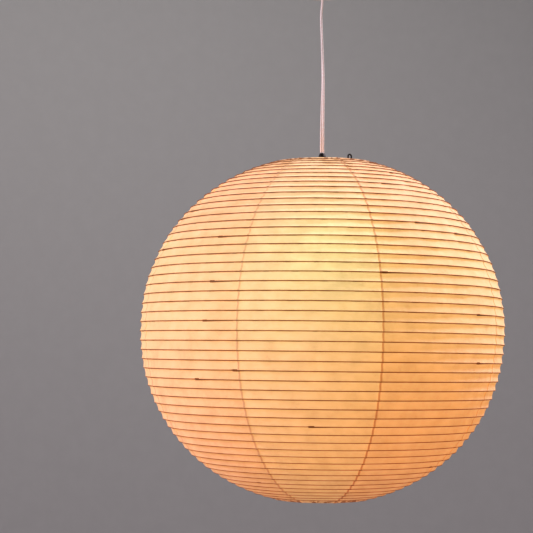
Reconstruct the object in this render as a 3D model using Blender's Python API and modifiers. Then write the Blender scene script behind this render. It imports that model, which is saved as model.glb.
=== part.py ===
"""A round washi paper lantern that hangs on a cord from a ceiling canopy.

The globe is eight paper panels glued over one long spiral of bamboo splint. A sprung wire stretcher,
hung on the lampholder, pushes a hoop at each end of the globe apart. Lengths are in metres. The origin
is the middle of the mounting strap's top face, where it meets the ceiling, +Z is up, and the
stretcher's visible end loop is to the front (-Y) and right (+X).
"""

import math

import bmesh
import bpy
import numpy as np
from mathutils import Matrix, Vector

# --- Driving dimensions --------------------------------------------------------------------------

GAP = 0.0003  # between pieces that touch

# The globe. Heights inside the lantern are measured from its widest circle.
EQUATOR_Z = -0.562
GLOBE_RADIUS = 0.275
UPPER_HEIGHT = 0.264  # widest circle to the pole of the upper half, were it closed
LOWER_HEIGHT = 0.2605
ROUNDNESS = 2.06  # exponent of the superellipse: 2 is an ellipse, more is fuller
TOP_OPENING_RADIUS = 0.077
BOTTOM_OPENING_RADIUS = 0.070
PAPER_THICKNESS = 0.0006
# Where the paper panels meet, in degrees from the front towards the right. Cut by hand, they aren't
# quite equal.
SEAMS_DEG = (-70.0, -24.6, 18.2, 67.2, 111.8, 156.3, 200.9, 245.4)
SEAM_GAP_DEG = 0.25
PANEL_BANDS = 18

# The bamboo rib, one spiral from hoop to hoop.
RIB_TURNS = 50
RIB_RADIUS = 0.0008
RIB_INSET = 0.0027  # outside of the paper to the middle of the splint
RIB_END_MARGIN = 0.006

# The hoops, sprung steel wire.
HOOP_WIRE = 0.0015
TOP_HOOP_RADIUS = 0.0728
BOTTOM_HOOP_RADIUS = 0.0660
HOOP_DROP = 0.0011  # paper edge to the middle of the hoop

# The lampholder, from the grip's mouth to the skirt.
GRIP_TOP, GRIP_BASE = 0.267, 0.248
HOLDER_TOP, HOLDER_SPLIT, HOLDER_BOTTOM = 0.2477, 0.222, 0.186
HOLDER_RADIUS = 0.021
HOLDER_WALL = 0.002
FLANGE_RADIUS, FLANGE_Z, FLANGE_HEIGHT = 0.0255, 0.2106, 0.003
HOLDER_BORE = 0.0175
INSULATOR_RADIUS, INSULATOR_TOP, INSULATOR_BOTTOM = 0.0171, 0.220, 0.216
SHELL_RADIUS, SHELL_WALL, SHELL_TOP, SHELL_BOTTOM = 0.0150, 0.0011, 0.2135, 0.1905
HOLDER_SCREW_X, HOLDER_SCREW_TOP = 0.009, 0.2225
RETAINING_RING_TOP, RETAINING_RING_HEIGHT = 0.2073, 0.0113

# The stretcher, bent from sprung wire.
STRETCHER_AZIMUTH_DEG = 37.5  # of the end loop that shows, from the front towards the right
ARM_WIRE, ARM_BEND = 0.00125, 0.012
LEG_WIRE, LEG_BEND = 0.0012, 0.004
CLAMP_RING_RADIUS = 0.0236
CLAMP_RING_Z = 0.209
LEG_RADIUS = 0.060  # of the legs' straight run, from the axis
LOOP_HALF_WIDTH = 0.00305
LOOP_TOP = 0.263
LINK_RADIUS = 0.0675  # where a leg hangs on its arm, from the axis

# The bulb, an opal globe of the usual 60 mm on a 26 mm screw cap.
BULB_RADIUS = 0.030
BULB_CENTRE = 0.135
BULB_GLOBE_TOP, BULB_NECK_RADIUS, BULB_WALL = 0.1657, 0.0238, 0.0012
BULB_TIP_TOP, BULB_TIP_BOTTOM = 0.2146, 0.2123
CAP_RADIUS, CAP_TOP, CAP_BOTTOM, CAP_WALL = 0.0132, 0.2095, 0.1900, 0.0006
LED_BOARD = (0.0205, 0.1652, 0.1640)  # radius, top and bottom

# The cord and the ceiling fitting, measured from the ceiling.
CORD_RADIUS = 0.0027
CORD_BORE = 0.00305
CANOPY_RADIUS, CANOPY_BOTTOM, CANOPY_WALL = 0.048, -0.047, 0.001
EXIT_HOLE = 0.008
BUSH_RADIUS = 0.0095
STOP_RADIUS = 0.007
STUD_X, STUD_RADIUS = 0.030, 0.002
STRAP = (0.084, 0.020, 0.002)
STRAP_HOLE_X, STRAP_HOLE_RADIUS = 0.019, 0.0025  # for the screws into the ceiling
TERMINAL_BLOCK = (0.026, 0.016, 0.012)
TERMINAL_SCREW_X, TERMINAL_WELL_DEPTH = 0.006, 0.006

TURNED_SEGMENTS = 28
HOOP_SEGMENTS = 32


# --- Scene, materials and small tools ------------------------------------------------------------


def clear_scene():
    """Remove every object the start-up file holds."""
    for obj in list(bpy.data.objects):
        bpy.data.objects.remove(obj, do_unlink=True)


def make_collection(name):
    collection = bpy.data.collections.new(name)
    bpy.context.scene.collection.children.link(collection)
    return collection


def make_material(name, colour, roughness, metallic=0.0):
    material = bpy.data.materials.new(name)
    material.use_nodes = True
    shader = material.node_tree.nodes["Principled BSDF"]
    shader.inputs["Base Color"].default_value = (*colour, 1.0)
    shader.inputs["Roughness"].default_value = roughness
    shader.inputs["Metallic"].default_value = metallic
    return material


class Kit:
    """The collections, materials and the parent empties, one for each body that moves as one."""

    def __init__(self):
        self.parts = make_collection("paper_lantern")
        self.cutters = make_collection("cutters")
        self.materials = {
            "washi": make_material("washi paper", (0.93, 0.84, 0.68), 0.9),
            "bamboo": make_material("split bamboo", (0.36, 0.24, 0.12), 0.6),
            "black_wire": make_material("black oxide spring wire", (0.02, 0.02, 0.02), 0.4, 0.8),
            "hoop_wire": make_material("galvanised wire", (0.55, 0.55, 0.53), 0.45, 0.9),
            "black_resin": make_material("black phenolic resin", (0.012, 0.012, 0.013), 0.35),
            "brass": make_material("brass", (0.80, 0.60, 0.28), 0.3, 1.0),
            "steatite": make_material("steatite ceramic", (0.85, 0.82, 0.76), 0.5),
            "opal": make_material("opal polycarbonate", (0.97, 0.93, 0.84), 0.4),
            "white_plastic": make_material("white moulded plastic", (0.88, 0.87, 0.84), 0.45),
            "nickel": make_material("nickel-plated brass", (0.72, 0.70, 0.66), 0.25, 1.0),
            "clear_pvc": make_material("clear PVC twin cord", (0.82, 0.80, 0.78), 0.25),
            "white_steel": make_material("white enamelled steel", (0.86, 0.86, 0.84), 0.35),
            "zinc_steel": make_material("zinc-plated steel", (0.62, 0.63, 0.64), 0.35, 1.0),
        }
        self.bodies = {}

    def body(self, name, x, y, z):
        """An empty on a body's joint axis. Its pieces are its children."""
        empty = bpy.data.objects.new(f"{name}_joint", None)
        empty.empty_display_size = 0.02
        empty.location = (x, y, z)
        self.parts.objects.link(empty)
        self.bodies[name] = empty

    def place(self, obj, body, material, location=(0, 0, 0), turn=0.0):
        """Finish an object: its collection, material, world place and parent."""
        empty = self.bodies[body]
        obj.location = location
        obj.rotation_euler = (0, 0, turn)
        obj.parent = empty
        obj.matrix_parent_inverse = Matrix.Translation(-Vector(empty.location))
        obj.data.materials.clear()
        obj.data.materials.append(self.materials[material])
        for collection in list(obj.users_collection):
            collection.objects.unlink(obj)
        self.parts.objects.link(obj)
        return obj


def mesh_object(name, mesh):
    obj = bpy.data.objects.new(name, mesh)
    bpy.context.scene.collection.objects.link(obj)
    return obj


def profile_mesh(name, points, closed):
    """A chain of edges in the XZ plane: (radius, height) pairs in order."""
    mesh = bpy.data.meshes.new(name)
    bm = bmesh.new()
    vertices = [bm.verts.new((radius, 0, height)) for radius, height in points]
    for first, second in zip(vertices, vertices[1:]):
        bm.edges.new((first, second))
    if closed:
        bm.edges.new((vertices[-1], vertices[0]))
    bm.to_mesh(mesh)
    bm.free()
    return mesh


def runs_down_outside(points):
    """True if a closed profile goes down its outer side, which turns into faces that point out."""
    twice_area = sum(a[0] * b[1] - b[0] * a[1] for a, b in zip(points, points[1:] + points[:1]))
    return twice_area < 0


def turned(name, points, segments=TURNED_SEGMENTS):
    """A turned solid. The profile is a closed ring of points, or starts and ends on the axis."""
    points = list(points)
    solid_core = points[0][0] == 0 and points[-1][0] == 0
    if not runs_down_outside(points):
        points.reverse()
    obj = mesh_object(name, profile_mesh(name, points, closed=not solid_core))
    screw = obj.modifiers.new("Turn", "SCREW")
    screw.axis = "Z"
    screw.angle = 2 * math.pi
    screw.steps = screw.render_steps = segments
    screw.use_merge_vertices = True
    screw.merge_threshold = 0.00001
    screw.use_smooth_shade = True
    return obj


def tube(name, points, radius, sides_level=2, cyclic=False):
    """A round wire or cord along the points."""
    curve = bpy.data.curves.new(name, "CURVE")
    curve.dimensions = "3D"
    curve.bevel_depth = radius
    curve.bevel_resolution = sides_level
    curve.use_fill_caps = not cyclic
    spline = curve.splines.new("POLY")
    spline.points.add(len(points) - 1)
    for point, place in zip(spline.points, points):
        point.co = (*place, 1.0)
    spline.use_cyclic_u = cyclic
    obj = bpy.data.objects.new(name, curve)
    bpy.context.scene.collection.objects.link(obj)
    return obj


def box(name, size, centre, bevel=0.0):
    bpy.ops.mesh.primitive_cube_add(size=1.0, location=(0, 0, 0))
    obj = bpy.context.active_object
    obj.name = obj.data.name = name
    obj.data.transform(Matrix.Translation(centre) @ Matrix.Diagonal((*size, 1.0)))
    if bevel:
        modifier = obj.modifiers.new("Edge", "BEVEL")
        modifier.width = bevel
        modifier.segments = 2
    return obj


def cut_round_hole(kit, obj, centre, radius, depth, segments=20):
    """Cut an upright round hole through or into an object that stands at the origin."""
    bpy.ops.mesh.primitive_cylinder_add(vertices=segments, radius=radius, depth=depth, location=centre)
    cutter = bpy.context.active_object
    cutter.name = f"{obj.name}_cutter"
    cutter.hide_render = True
    cutter.display_type = "WIRE"
    for collection in list(cutter.users_collection):
        collection.objects.unlink(cutter)
    kit.cutters.objects.link(cutter)
    modifier = obj.modifiers.new("Hole", "BOOLEAN")
    modifier.object = cutter
    modifier.operation = "DIFFERENCE"


def arc(centre, radius, start_deg, end_deg, steps):
    """Points on a circle in the profile plane, from one angle to another, 0 pointing out and 90 up."""
    angles = np.radians(np.linspace(start_deg, end_deg, steps + 1))
    return [(centre[0] + radius * math.cos(a), centre[1] + radius * math.sin(a)) for a in angles]


def bend_wire(corners, bend, steps=3):
    """Straight runs between the corners with each corner rounded to the bend radius."""
    corners = [Vector(corner) for corner in corners]
    route = [corners[0]]
    for before, corner, after in zip(corners, corners[1:], corners[2:]):
        back, ahead = (before - corner), (after - corner)
        reach = min(back.length, ahead.length) * 0.45
        turn = math.pi - back.angle(ahead)
        trim = min(bend * math.tan(turn / 2), reach)
        start, end = corner + back.normalized() * trim, corner + ahead.normalized() * trim
        for step in range(steps + 1):
            t = step / steps
            route.append(start * (1 - t) ** 2 + corner * 2 * t * (1 - t) + end * t**2)
    route.append(corners[-1])
    return route


def smooth_route(points, count):
    """Evenly spaced points on a Catmull-Rom curve through the given ones."""
    points = [Vector(point) for point in points]
    padded = [points[0] * 2 - points[1], *points, points[-1] * 2 - points[-2]]
    fine = []
    for a, b, c, d in zip(padded, padded[1:], padded[2:], padded[3:]):
        for step in range(24):
            t = step / 24
            square, cube = (2 * a - 5 * b + 4 * c - d) * t**2, (3 * b - a - 3 * c + d) * t**3
            fine.append(0.5 * (2 * b + (c - a) * t + square + cube))
    fine.append(points[-1])
    along = np.concatenate([[0], np.cumsum([(q - p).length for p, q in zip(fine, fine[1:])])])
    wanted = np.linspace(0, along[-1], count)
    return list(np.column_stack([np.interp(wanted, along, [p[axis] for p in fine]) for axis in range(3)]))


# --- The globe's outline -------------------------------------------------------------------------


class GlobeOutline:
    """The globe's profile by the distance along it from the top edge of the paper."""

    SAMPLES = 4000

    def __init__(self):
        top = self.height_at(TOP_OPENING_RADIUS, UPPER_HEIGHT)
        bottom = -self.height_at(BOTTOM_OPENING_RADIUS, LOWER_HEIGHT)
        # Even steps of the angle seen from the middle of the globe keep the samples close near both edges.
        angle_top = math.atan2(top / UPPER_HEIGHT, TOP_OPENING_RADIUS / GLOBE_RADIUS)
        angle_bottom = math.atan2(bottom / LOWER_HEIGHT, BOTTOM_OPENING_RADIUS / GLOBE_RADIUS)
        angle = np.linspace(angle_top, angle_bottom, self.SAMPLES)
        out, up = np.cos(angle), np.abs(np.sin(angle))
        size = (out**ROUNDNESS + up**ROUNDNESS) ** (-1 / ROUNDNESS)
        self.radius = GLOBE_RADIUS * out * size
        self.height = np.where(angle > 0, UPPER_HEIGHT, LOWER_HEIGHT) * np.sin(angle) * size
        steps = np.hypot(np.diff(self.radius), np.diff(self.height))
        self.along = np.concatenate([[0], np.cumsum(steps)])
        self.length = float(self.along[-1])

    @staticmethod
    def height_at(radius, half_height):
        return half_height * (1 - (radius / GLOBE_RADIUS) ** ROUNDNESS) ** (1 / ROUNDNESS)

    def point(self, along, inset=0.0):
        """(radius, height) at a distance from the top edge, moved in from the paper's face by the inset."""
        step = 0.0005
        radius, height = self._on_face(along)
        ahead, behind = self._on_face(along + step), self._on_face(along - step)
        run, drop = ahead[0] - behind[0], ahead[1] - behind[1]
        size = math.hypot(run, drop)
        return radius + inset * drop / size, height - inset * run / size

    def _on_face(self, along):
        along = min(max(along, 0.0), self.length)
        radius = float(np.interp(along, self.along, self.radius))
        return radius, float(np.interp(along, self.along, self.height))

    @property
    def top_z(self):
        return float(self.height[0])

    @property
    def bottom_z(self):
        return float(self.height[-1])


def from_right(azimuth_deg):
    """The angle about +Z from +X, in radians, of an azimuth given from the front towards the right."""
    return math.radians(azimuth_deg - 90)


def panel_edges():
    """(start, end) azimuth of each panel in degrees, going round once."""
    following = [*SEAMS_DEG[1:], SEAMS_DEG[0] + 360]
    return list(zip(SEAMS_DEG, following))


# --- The shade -----------------------------------------------------------------------------------


def paper_panels(kit, outline):
    """Eight gores of washi, each its own sheet, two flats wide."""
    along = [outline.length * band / PANEL_BANDS for band in range(PANEL_BANDS + 1)]
    points = [outline.point(distance) for distance in along]
    for number, (start, end) in enumerate(panel_edges(), 1):
        name = f"paper_panel_{number}"
        obj = mesh_object(name, profile_mesh(name, points, closed=False))
        screw = obj.modifiers.new("Turn", "SCREW")
        screw.axis = "Z"
        screw.angle = math.radians(end - start - SEAM_GAP_DEG)
        screw.steps = screw.render_steps = 2
        solidify = obj.modifiers.new("Sheet", "SOLIDIFY")
        solidify.thickness = PAPER_THICKNESS
        solidify.offset = -1
        kit.place(obj, "lamp", "washi", (0, 0, EQUATOR_Z), from_right(start + SEAM_GAP_DEG / 2))


def bamboo_rib(kit, outline):
    """The one spiral splint that the paper is glued over. In front it goes down to the right."""
    corners = [azimuth for start, end in panel_edges() for azimuth in (start, (start + end) / 2)]
    usable = outline.length - 2 * RIB_END_MARGIN
    route = []
    for turn in range(RIB_TURNS):
        for azimuth in corners:
            share = (turn + (azimuth - corners[0]) / 360) / RIB_TURNS
            radius, height = outline.point(RIB_END_MARGIN + usable * share, RIB_INSET)
            angle = from_right(azimuth)
            route.append((radius * math.cos(angle), radius * math.sin(angle), height))
    rib = tube("bamboo_rib", route, RIB_RADIUS, sides_level=0)
    kit.place(rib, "lamp", "bamboo", (0, 0, EQUATOR_Z))


def hoop(kit, name, body, radius, height):
    bpy.ops.mesh.primitive_torus_add(
        major_radius=radius, minor_radius=HOOP_WIRE, major_segments=HOOP_SEGMENTS, minor_segments=8
    )
    obj = bpy.context.active_object
    obj.name = obj.data.name = name
    kit.place(obj, body, "hoop_wire", (0, 0, EQUATOR_Z + height))


# --- The stretcher -------------------------------------------------------------------------------


def arm_shelf(outline):
    """Height of the arms' outer ends, whose wire lies just under the top hoop."""
    return outline.top_z - HOOP_DROP - HOOP_WIRE - GAP - ARM_WIRE


def stretcher(kit, outline):
    """A clamp ring under the lampholder's flange, two arms under the top hoop and two legs below."""
    ring_route = [
        (CLAMP_RING_RADIUS * math.cos(a), CLAMP_RING_RADIUS * math.sin(a), CLAMP_RING_Z)
        for a in np.linspace(0, 2 * math.pi, 24, endpoint=False)
    ]
    ring = tube("stretcher_clamp_ring", ring_route, ARM_WIRE, cyclic=True)
    kit.place(ring, "lamp", "black_wire", (0, 0, EQUATOR_Z))

    shelf = arm_shelf(outline)
    foot = outline.bottom_z + HOOP_DROP + HOOP_WIRE + GAP + LEG_WIRE
    arm_start = CLAMP_RING_RADIUS + ARM_WIRE + GAP + 0.0002
    arm = bend_wire(
        [
            (arm_start, 0, CLAMP_RING_Z),
            (arm_start + 0.006, 0, CLAMP_RING_Z + 0.002),
            (0.058, 0, shelf),
            (TOP_HOOP_RADIUS + 0.003, 0, shelf),
        ],
        ARM_BEND,
    )
    loop_centre = LOOP_TOP - LEG_WIRE - LOOP_HALF_WIDTH
    loop = [
        (LINK_RADIUS, LOOP_HALF_WIDTH * math.cos(a), loop_centre + LOOP_HALF_WIDTH * math.sin(a))
        for a in np.linspace(0, math.pi, 7)
    ]
    leg = bend_wire(
        [
            (BOTTOM_HOOP_RADIUS + 0.003, 0, foot),
            (LEG_RADIUS, 0, foot),
            (LEG_RADIUS, 0, 0.200),
            (LINK_RADIUS - 0.001, 0, shelf - 0.016),
            (LINK_RADIUS, LOOP_HALF_WIDTH, shelf - 0.006),
            loop[0],
        ],
        LEG_BEND,
    )
    leg += [Vector(point) for point in loop[1:]]
    leg.append(Vector((LINK_RADIUS, -LOOP_HALF_WIDTH, shelf - 0.008)))
    for side, turn in (("front", 0), ("back", math.pi)):
        angle = from_right(STRETCHER_AZIMUTH_DEG) + turn
        obj = tube(f"{side}_stretcher_arm", arm, ARM_WIRE)
        kit.place(obj, "lamp", "black_wire", (0, 0, EQUATOR_Z), angle)
        obj = tube(f"{side}_stretcher_leg", leg, LEG_WIRE)
        kit.place(obj, f"{side}_leg", "black_wire", (0, 0, EQUATOR_Z), angle)


# --- The lampholder and the bulb -----------------------------------------------------------------


def lampholder(kit):
    def add(name, points, material, body="lamp", segments=TURNED_SEGMENTS):
        kit.place(turned(name, points, segments), body, material, (0, 0, EQUATOR_Z))

    add(
        "cord_grip",
        [(CORD_BORE, GRIP_TOP), (0.0037, GRIP_TOP), (0.0101, GRIP_BASE), (CORD_BORE, GRIP_BASE)],
        "black_resin",
    )
    wall = HOLDER_WALL
    add(
        "holder_cap",
        [
            (0.0035, HOLDER_TOP),
            (0.0105, HOLDER_TOP),
            (0.0165, 0.2405),
            (0.0200, 0.2330),
            (HOLDER_RADIUS, HOLDER_SPLIT + GAP),
            (HOLDER_RADIUS - wall, HOLDER_SPLIT + GAP),
            (0.0180, 0.2320),
            (0.0150, 0.2390),
            (0.0098, HOLDER_TOP - wall),
            (0.0035, HOLDER_TOP - wall),
        ],
        "black_resin",
    )
    flange_top = FLANGE_Z + FLANGE_HEIGHT
    add(
        "holder_body",
        [
            (HOLDER_RADIUS, HOLDER_SPLIT),
            (HOLDER_RADIUS, flange_top),
            (FLANGE_RADIUS, flange_top),
            (FLANGE_RADIUS, FLANGE_Z),
            (HOLDER_RADIUS, FLANGE_Z),
            (HOLDER_RADIUS, HOLDER_BOTTOM + 0.001),
            (HOLDER_RADIUS - 0.001, HOLDER_BOTTOM),
            (HOLDER_BORE, HOLDER_BOTTOM),
            (HOLDER_BORE, HOLDER_SPLIT),
        ],
        "black_resin",
    )
    ring_inside, ring_outside = HOLDER_RADIUS + 0.00035, 0.026
    ring_bottom = RETAINING_RING_TOP - RETAINING_RING_HEIGHT
    add(
        "retaining_ring",
        [
            (ring_inside, RETAINING_RING_TOP),
            (ring_outside, RETAINING_RING_TOP),
            (ring_outside, ring_bottom + 0.002),
            (0.0245, ring_bottom),
            (ring_inside, ring_bottom),
        ],
        "black_resin",
        "retaining_ring",
    )
    add(
        "holder_insulator",
        [
            (0, INSULATOR_TOP),
            (INSULATOR_RADIUS, INSULATOR_TOP),
            (INSULATOR_RADIUS, INSULATOR_BOTTOM),
            (0, INSULATOR_BOTTOM),
        ],
        "steatite",
    )
    add(
        "holder_thread_shell",
        [
            (SHELL_RADIUS, SHELL_TOP),
            (SHELL_RADIUS, SHELL_BOTTOM),
            (SHELL_RADIUS - SHELL_WALL, SHELL_BOTTOM),
            (SHELL_RADIUS - SHELL_WALL, SHELL_TOP),
        ],
        "brass",
    )
    contact = box("holder_centre_contact", (0.014, 0.005, 0.0005), (0.002, 0, 0.21535))
    kit.place(contact, "lamp", "brass", (0, 0, EQUATOR_Z))
    head, rim, seat = HOLDER_SCREW_TOP, HOLDER_SCREW_TOP - 0.0007, HOLDER_SCREW_TOP - 0.0022
    for side, x in (("live", HOLDER_SCREW_X), ("neutral", -HOLDER_SCREW_X)):
        profile = [(0, head), (0.0022, head), (0.0026, rim), (0.0026, seat), (0, seat)]
        screw = turned(f"holder_{side}_screw", profile, 12)
        kit.place(screw, "lamp", "brass", (x, 0, EQUATOR_Z))


def bulb(kit):
    def add(name, points, material, body="bulb", segments=TURNED_SEGMENTS):
        kit.place(turned(name, points, segments), body, material, (0, 0, EQUATOR_Z))

    add(
        "bulb_tip_contact",
        [(0, BULB_TIP_TOP), (0.003, BULB_TIP_TOP), (0.0045, BULB_TIP_BOTTOM), (0, BULB_TIP_BOTTOM)],
        "brass",
        "bulb_tip",
        16,
    )
    add(
        "bulb_insulator",
        [(0, 0.2120), (0.0048, 0.2120), (0.0102, CAP_TOP + GAP), (0, CAP_TOP + GAP)],
        "black_resin",
        segments=20,
    )
    add(
        "bulb_cap",
        [
            (0.0030, CAP_TOP),
            (0.0105, CAP_TOP),
            (CAP_RADIUS, CAP_TOP - 0.0030),
            (CAP_RADIUS, CAP_BOTTOM),
            (CAP_RADIUS - CAP_WALL, CAP_BOTTOM),
            (CAP_RADIUS - CAP_WALL, CAP_TOP - 0.0036),
            (0.0030, CAP_TOP - 0.0008),
        ],
        "nickel",
    )
    collar_top = CAP_BOTTOM - GAP
    add(
        "bulb_collar",
        [
            (0, collar_top),
            (0.0138, collar_top),
            (0.0155, 0.1850),
            (0.0200, 0.1760),
            (BULB_NECK_RADIUS, BULB_GLOBE_TOP + GAP),
            (0, BULB_GLOBE_TOP + GAP),
        ],
        "white_plastic",
    )
    radius, top, bottom = LED_BOARD
    board = [(0, top), (radius, top), (radius, bottom), (0, bottom)]
    add("led_board", board, "steatite", segments=20)
    base = BULB_CENTRE - BULB_RADIUS
    outside = [(BULB_NECK_RADIUS, BULB_GLOBE_TOP)]
    outside += arc((0, BULB_CENTRE), BULB_RADIUS, 30, -60, 5) + [(0, base)]
    inside = [(0, base + BULB_WALL)] + arc((0, BULB_CENTRE), BULB_RADIUS - BULB_WALL, -60, 30, 4)
    inside.append((BULB_NECK_RADIUS - BULB_WALL, BULB_GLOBE_TOP))
    add("bulb_globe", outside + inside, "opal", segments=24)


# --- The cord and the ceiling fitting ------------------------------------------------------------


def swing_height():
    """Height of the cord stop's middle, which its bush and the canopy's exit hole settle."""
    seat = BUSH_RADIUS + GAP
    return CANOPY_BOTTOM + CANOPY_WALL + math.sqrt(seat**2 - EXIT_HOLE**2)


def cord_and_stop(kit):
    """The twin cord from inside the canopy to inside the lampholder, and the ball stop clamped on it."""
    pivot = swing_height()
    route = [
        (0, 0, pivot + 0.012),
        (0, 0, pivot),
        (0, 0, pivot - 0.020),
        (-0.0016, 0, -0.085),
        (0.0006, 0, -0.150),
        (0.0013, 0, -0.185),
        (0.0004, 0, -0.235),
        (0, 0, -0.275),
        (0, 0, EQUATOR_Z + GRIP_TOP),
        (0, 0, EQUATOR_Z + 0.2245),
    ]
    kit.place(tube("pendant_cord", smooth_route(route, 28), CORD_RADIUS), "hanging_cord", "clear_pvc")

    half_bore = math.degrees(math.asin(0.0031 / STOP_RADIUS))
    stop = turned("cord_stop", arc((0, pivot), STOP_RADIUS, 90 - half_bore, half_bore - 90, 10), 24)
    kit.place(stop, "hanging_cord", "white_plastic")

    low, high = -36, -4
    seat = STOP_RADIUS + GAP
    zone = arc((0, pivot), BUSH_RADIUS, high, low, 4) + arc((0, pivot), seat, low, high, 4)
    kit.place(turned("exit_bush", zone, 24), "exit_bush", "white_plastic")


def ceiling_fitting(kit):
    """The canopy cup, held up to a strap by studs and cap nuts, and the terminal block over the cord."""
    length, width, thickness = STRAP
    strap = box("mounting_strap", (length, width, thickness), (0, 0, -thickness / 2))
    for x in (-STUD_X, STUD_X):
        cut_round_hole(kit, strap, (x, 0, -thickness / 2), STUD_RADIUS + 0.00035, 3 * thickness)
    for x in (-STRAP_HOLE_X, STRAP_HOLE_X):
        cut_round_hole(kit, strap, (x, 0, -thickness / 2), STRAP_HOLE_RADIUS, 3 * thickness)
    kit.place(strap, "ceiling_fitting", "zinc_steel")

    inside, floor = CANOPY_RADIUS - CANOPY_WALL, CANOPY_BOTTOM + CANOPY_WALL
    cup = turned(
        "canopy_cup",
        [
            (CANOPY_RADIUS, -GAP),
            (CANOPY_RADIUS, CANOPY_BOTTOM + 0.004),
            (CANOPY_RADIUS - 0.0012, CANOPY_BOTTOM + 0.0012),
            (CANOPY_RADIUS - 0.004, CANOPY_BOTTOM),
            (EXIT_HOLE, CANOPY_BOTTOM),
            (EXIT_HOLE, floor),
            (inside - 0.0035, floor),
            (inside - 0.0010, floor + 0.0010),
            (inside, floor + 0.0035),
            (inside, -GAP),
        ],
        40,
    )
    for x in (-STUD_X, STUD_X):
        cut_round_hole(kit, cup, (x, 0, CANOPY_BOTTOM), STUD_RADIUS + 0.0005, 0.006)
    kit.place(cup, "ceiling_fitting", "white_steel")

    nut_top = CANOPY_BOTTOM - GAP
    for side, x in (("left", -STUD_X), ("right", STUD_X)):
        top, tip = -0.0006, nut_top - 0.0050
        profile = [(0, top), (STUD_RADIUS, top), (STUD_RADIUS, tip), (0, tip)]
        stud = turned(f"{side}_canopy_stud", profile, 16)
        kit.place(stud, "ceiling_fitting", "zinc_steel", (x, 0, 0))
        nut = turned(
            f"{side}_cap_nut",
            [
                (0, nut_top - 0.0054),
                (STUD_RADIUS + 0.00035, nut_top - 0.0054),
                (STUD_RADIUS + 0.00035, nut_top),
                (0.0050, nut_top),
                (0.0050, nut_top - 0.0045),
                (0.0036, nut_top - 0.0068),
                (0, nut_top - 0.0078),
            ],
            20,
        )
        kit.place(nut, "ceiling_fitting", "white_steel", (x, 0, 0))

    block_top = -thickness - GAP
    block_bottom = block_top - TERMINAL_BLOCK[2]
    middle = (0, 0, block_top - TERMINAL_BLOCK[2] / 2)
    block = box("terminal_block", TERMINAL_BLOCK, middle, 0.001)
    for side, x in (("live", -TERMINAL_SCREW_X), ("neutral", TERMINAL_SCREW_X)):
        cut_round_hole(kit, block, (x, 0, block_bottom), 0.0026, 2 * TERMINAL_WELL_DEPTH, 16)
        head = block_bottom + TERMINAL_WELL_DEPTH - GAP
        slot = head - 0.0035
        profile = [(0, head), (0.0022, head), (0.0022, slot), (0, slot)]
        screw = turned(f"terminal_{side}_screw", profile, 12)
        kit.place(screw, "ceiling_fitting", "brass", (x, 0, 0))
    kit.place(block, "ceiling_fitting", "white_plastic")


def main():
    clear_scene()
    kit = Kit()
    outline = GlobeOutline()
    pivot = swing_height()
    shelf = arm_shelf(outline)
    link = Vector((LINK_RADIUS, 0, 0))
    link.rotate(Matrix.Rotation(from_right(STRETCHER_AZIMUTH_DEG), 3, "Z"))

    kit.body("ceiling_fitting", 0, 0, 0)
    kit.body("exit_bush", 0, 0, pivot)
    kit.body("hanging_cord", 0, 0, pivot)
    kit.body("lamp", 0, 0, EQUATOR_Z + GRIP_TOP)
    kit.body("front_leg", link.x, link.y, EQUATOR_Z + shelf)
    kit.body("back_leg", -link.x, -link.y, EQUATOR_Z + shelf)
    kit.body("bottom_hoop", 0, 0, EQUATOR_Z + outline.bottom_z)
    kit.body("retaining_ring", 0, 0, EQUATOR_Z + RETAINING_RING_TOP)
    kit.body("bulb_tip", 0, 0, EQUATOR_Z + BULB_TIP_TOP)
    kit.body("bulb", 0, 0, EQUATOR_Z + BULB_CENTRE)

    ceiling_fitting(kit)
    cord_and_stop(kit)
    lampholder(kit)
    bulb(kit)
    stretcher(kit, outline)
    hoop(kit, "top_hoop", "lamp", TOP_HOOP_RADIUS, outline.top_z - HOOP_DROP)
    hoop(kit, "bottom_hoop", "bottom_hoop", BOTTOM_HOOP_RADIUS, outline.bottom_z + HOOP_DROP)
    paper_panels(kit, outline)
    bamboo_rib(kit, outline)


main()
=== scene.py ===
"""The looks of a round washi paper lantern that hangs on a cord from a ceiling canopy.

The globe is eight sheets of washi pasted over a spiral of bamboo splints. A sprung wire stretcher that hangs
on the lampholder holds it open. Lengths are in metres. The origin is where the mounting strap meets the
ceiling, and +Z is up. Heights inside the lantern are measured from the globe's widest circle.
"""

import logging
import math
from dataclasses import dataclass, field
from enum import Enum
from typing import Any, Iterable, Sequence

import bmesh
import bpy
import numpy as np
from mathutils import Matrix, Vector, noise


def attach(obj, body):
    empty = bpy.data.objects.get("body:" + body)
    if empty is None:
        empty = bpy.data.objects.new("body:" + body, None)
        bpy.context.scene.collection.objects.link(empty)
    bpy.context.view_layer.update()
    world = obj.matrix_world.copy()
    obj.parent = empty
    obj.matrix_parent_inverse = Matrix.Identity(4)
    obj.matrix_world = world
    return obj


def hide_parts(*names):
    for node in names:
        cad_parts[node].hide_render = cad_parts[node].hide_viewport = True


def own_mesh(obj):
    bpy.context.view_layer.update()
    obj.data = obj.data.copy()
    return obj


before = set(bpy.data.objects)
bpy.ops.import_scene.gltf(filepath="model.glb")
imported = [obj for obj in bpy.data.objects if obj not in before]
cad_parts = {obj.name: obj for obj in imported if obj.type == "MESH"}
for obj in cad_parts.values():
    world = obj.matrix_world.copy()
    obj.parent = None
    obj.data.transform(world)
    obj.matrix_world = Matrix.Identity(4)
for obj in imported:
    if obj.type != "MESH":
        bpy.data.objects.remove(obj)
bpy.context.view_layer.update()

log = logging.getLogger("paper_lantern")

Point = tuple[float, float, float]
Pair = tuple[float, float]
Colour = tuple[float, float, float, float]
Source = bpy.types.Node | bpy.types.NodeSocket

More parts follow.
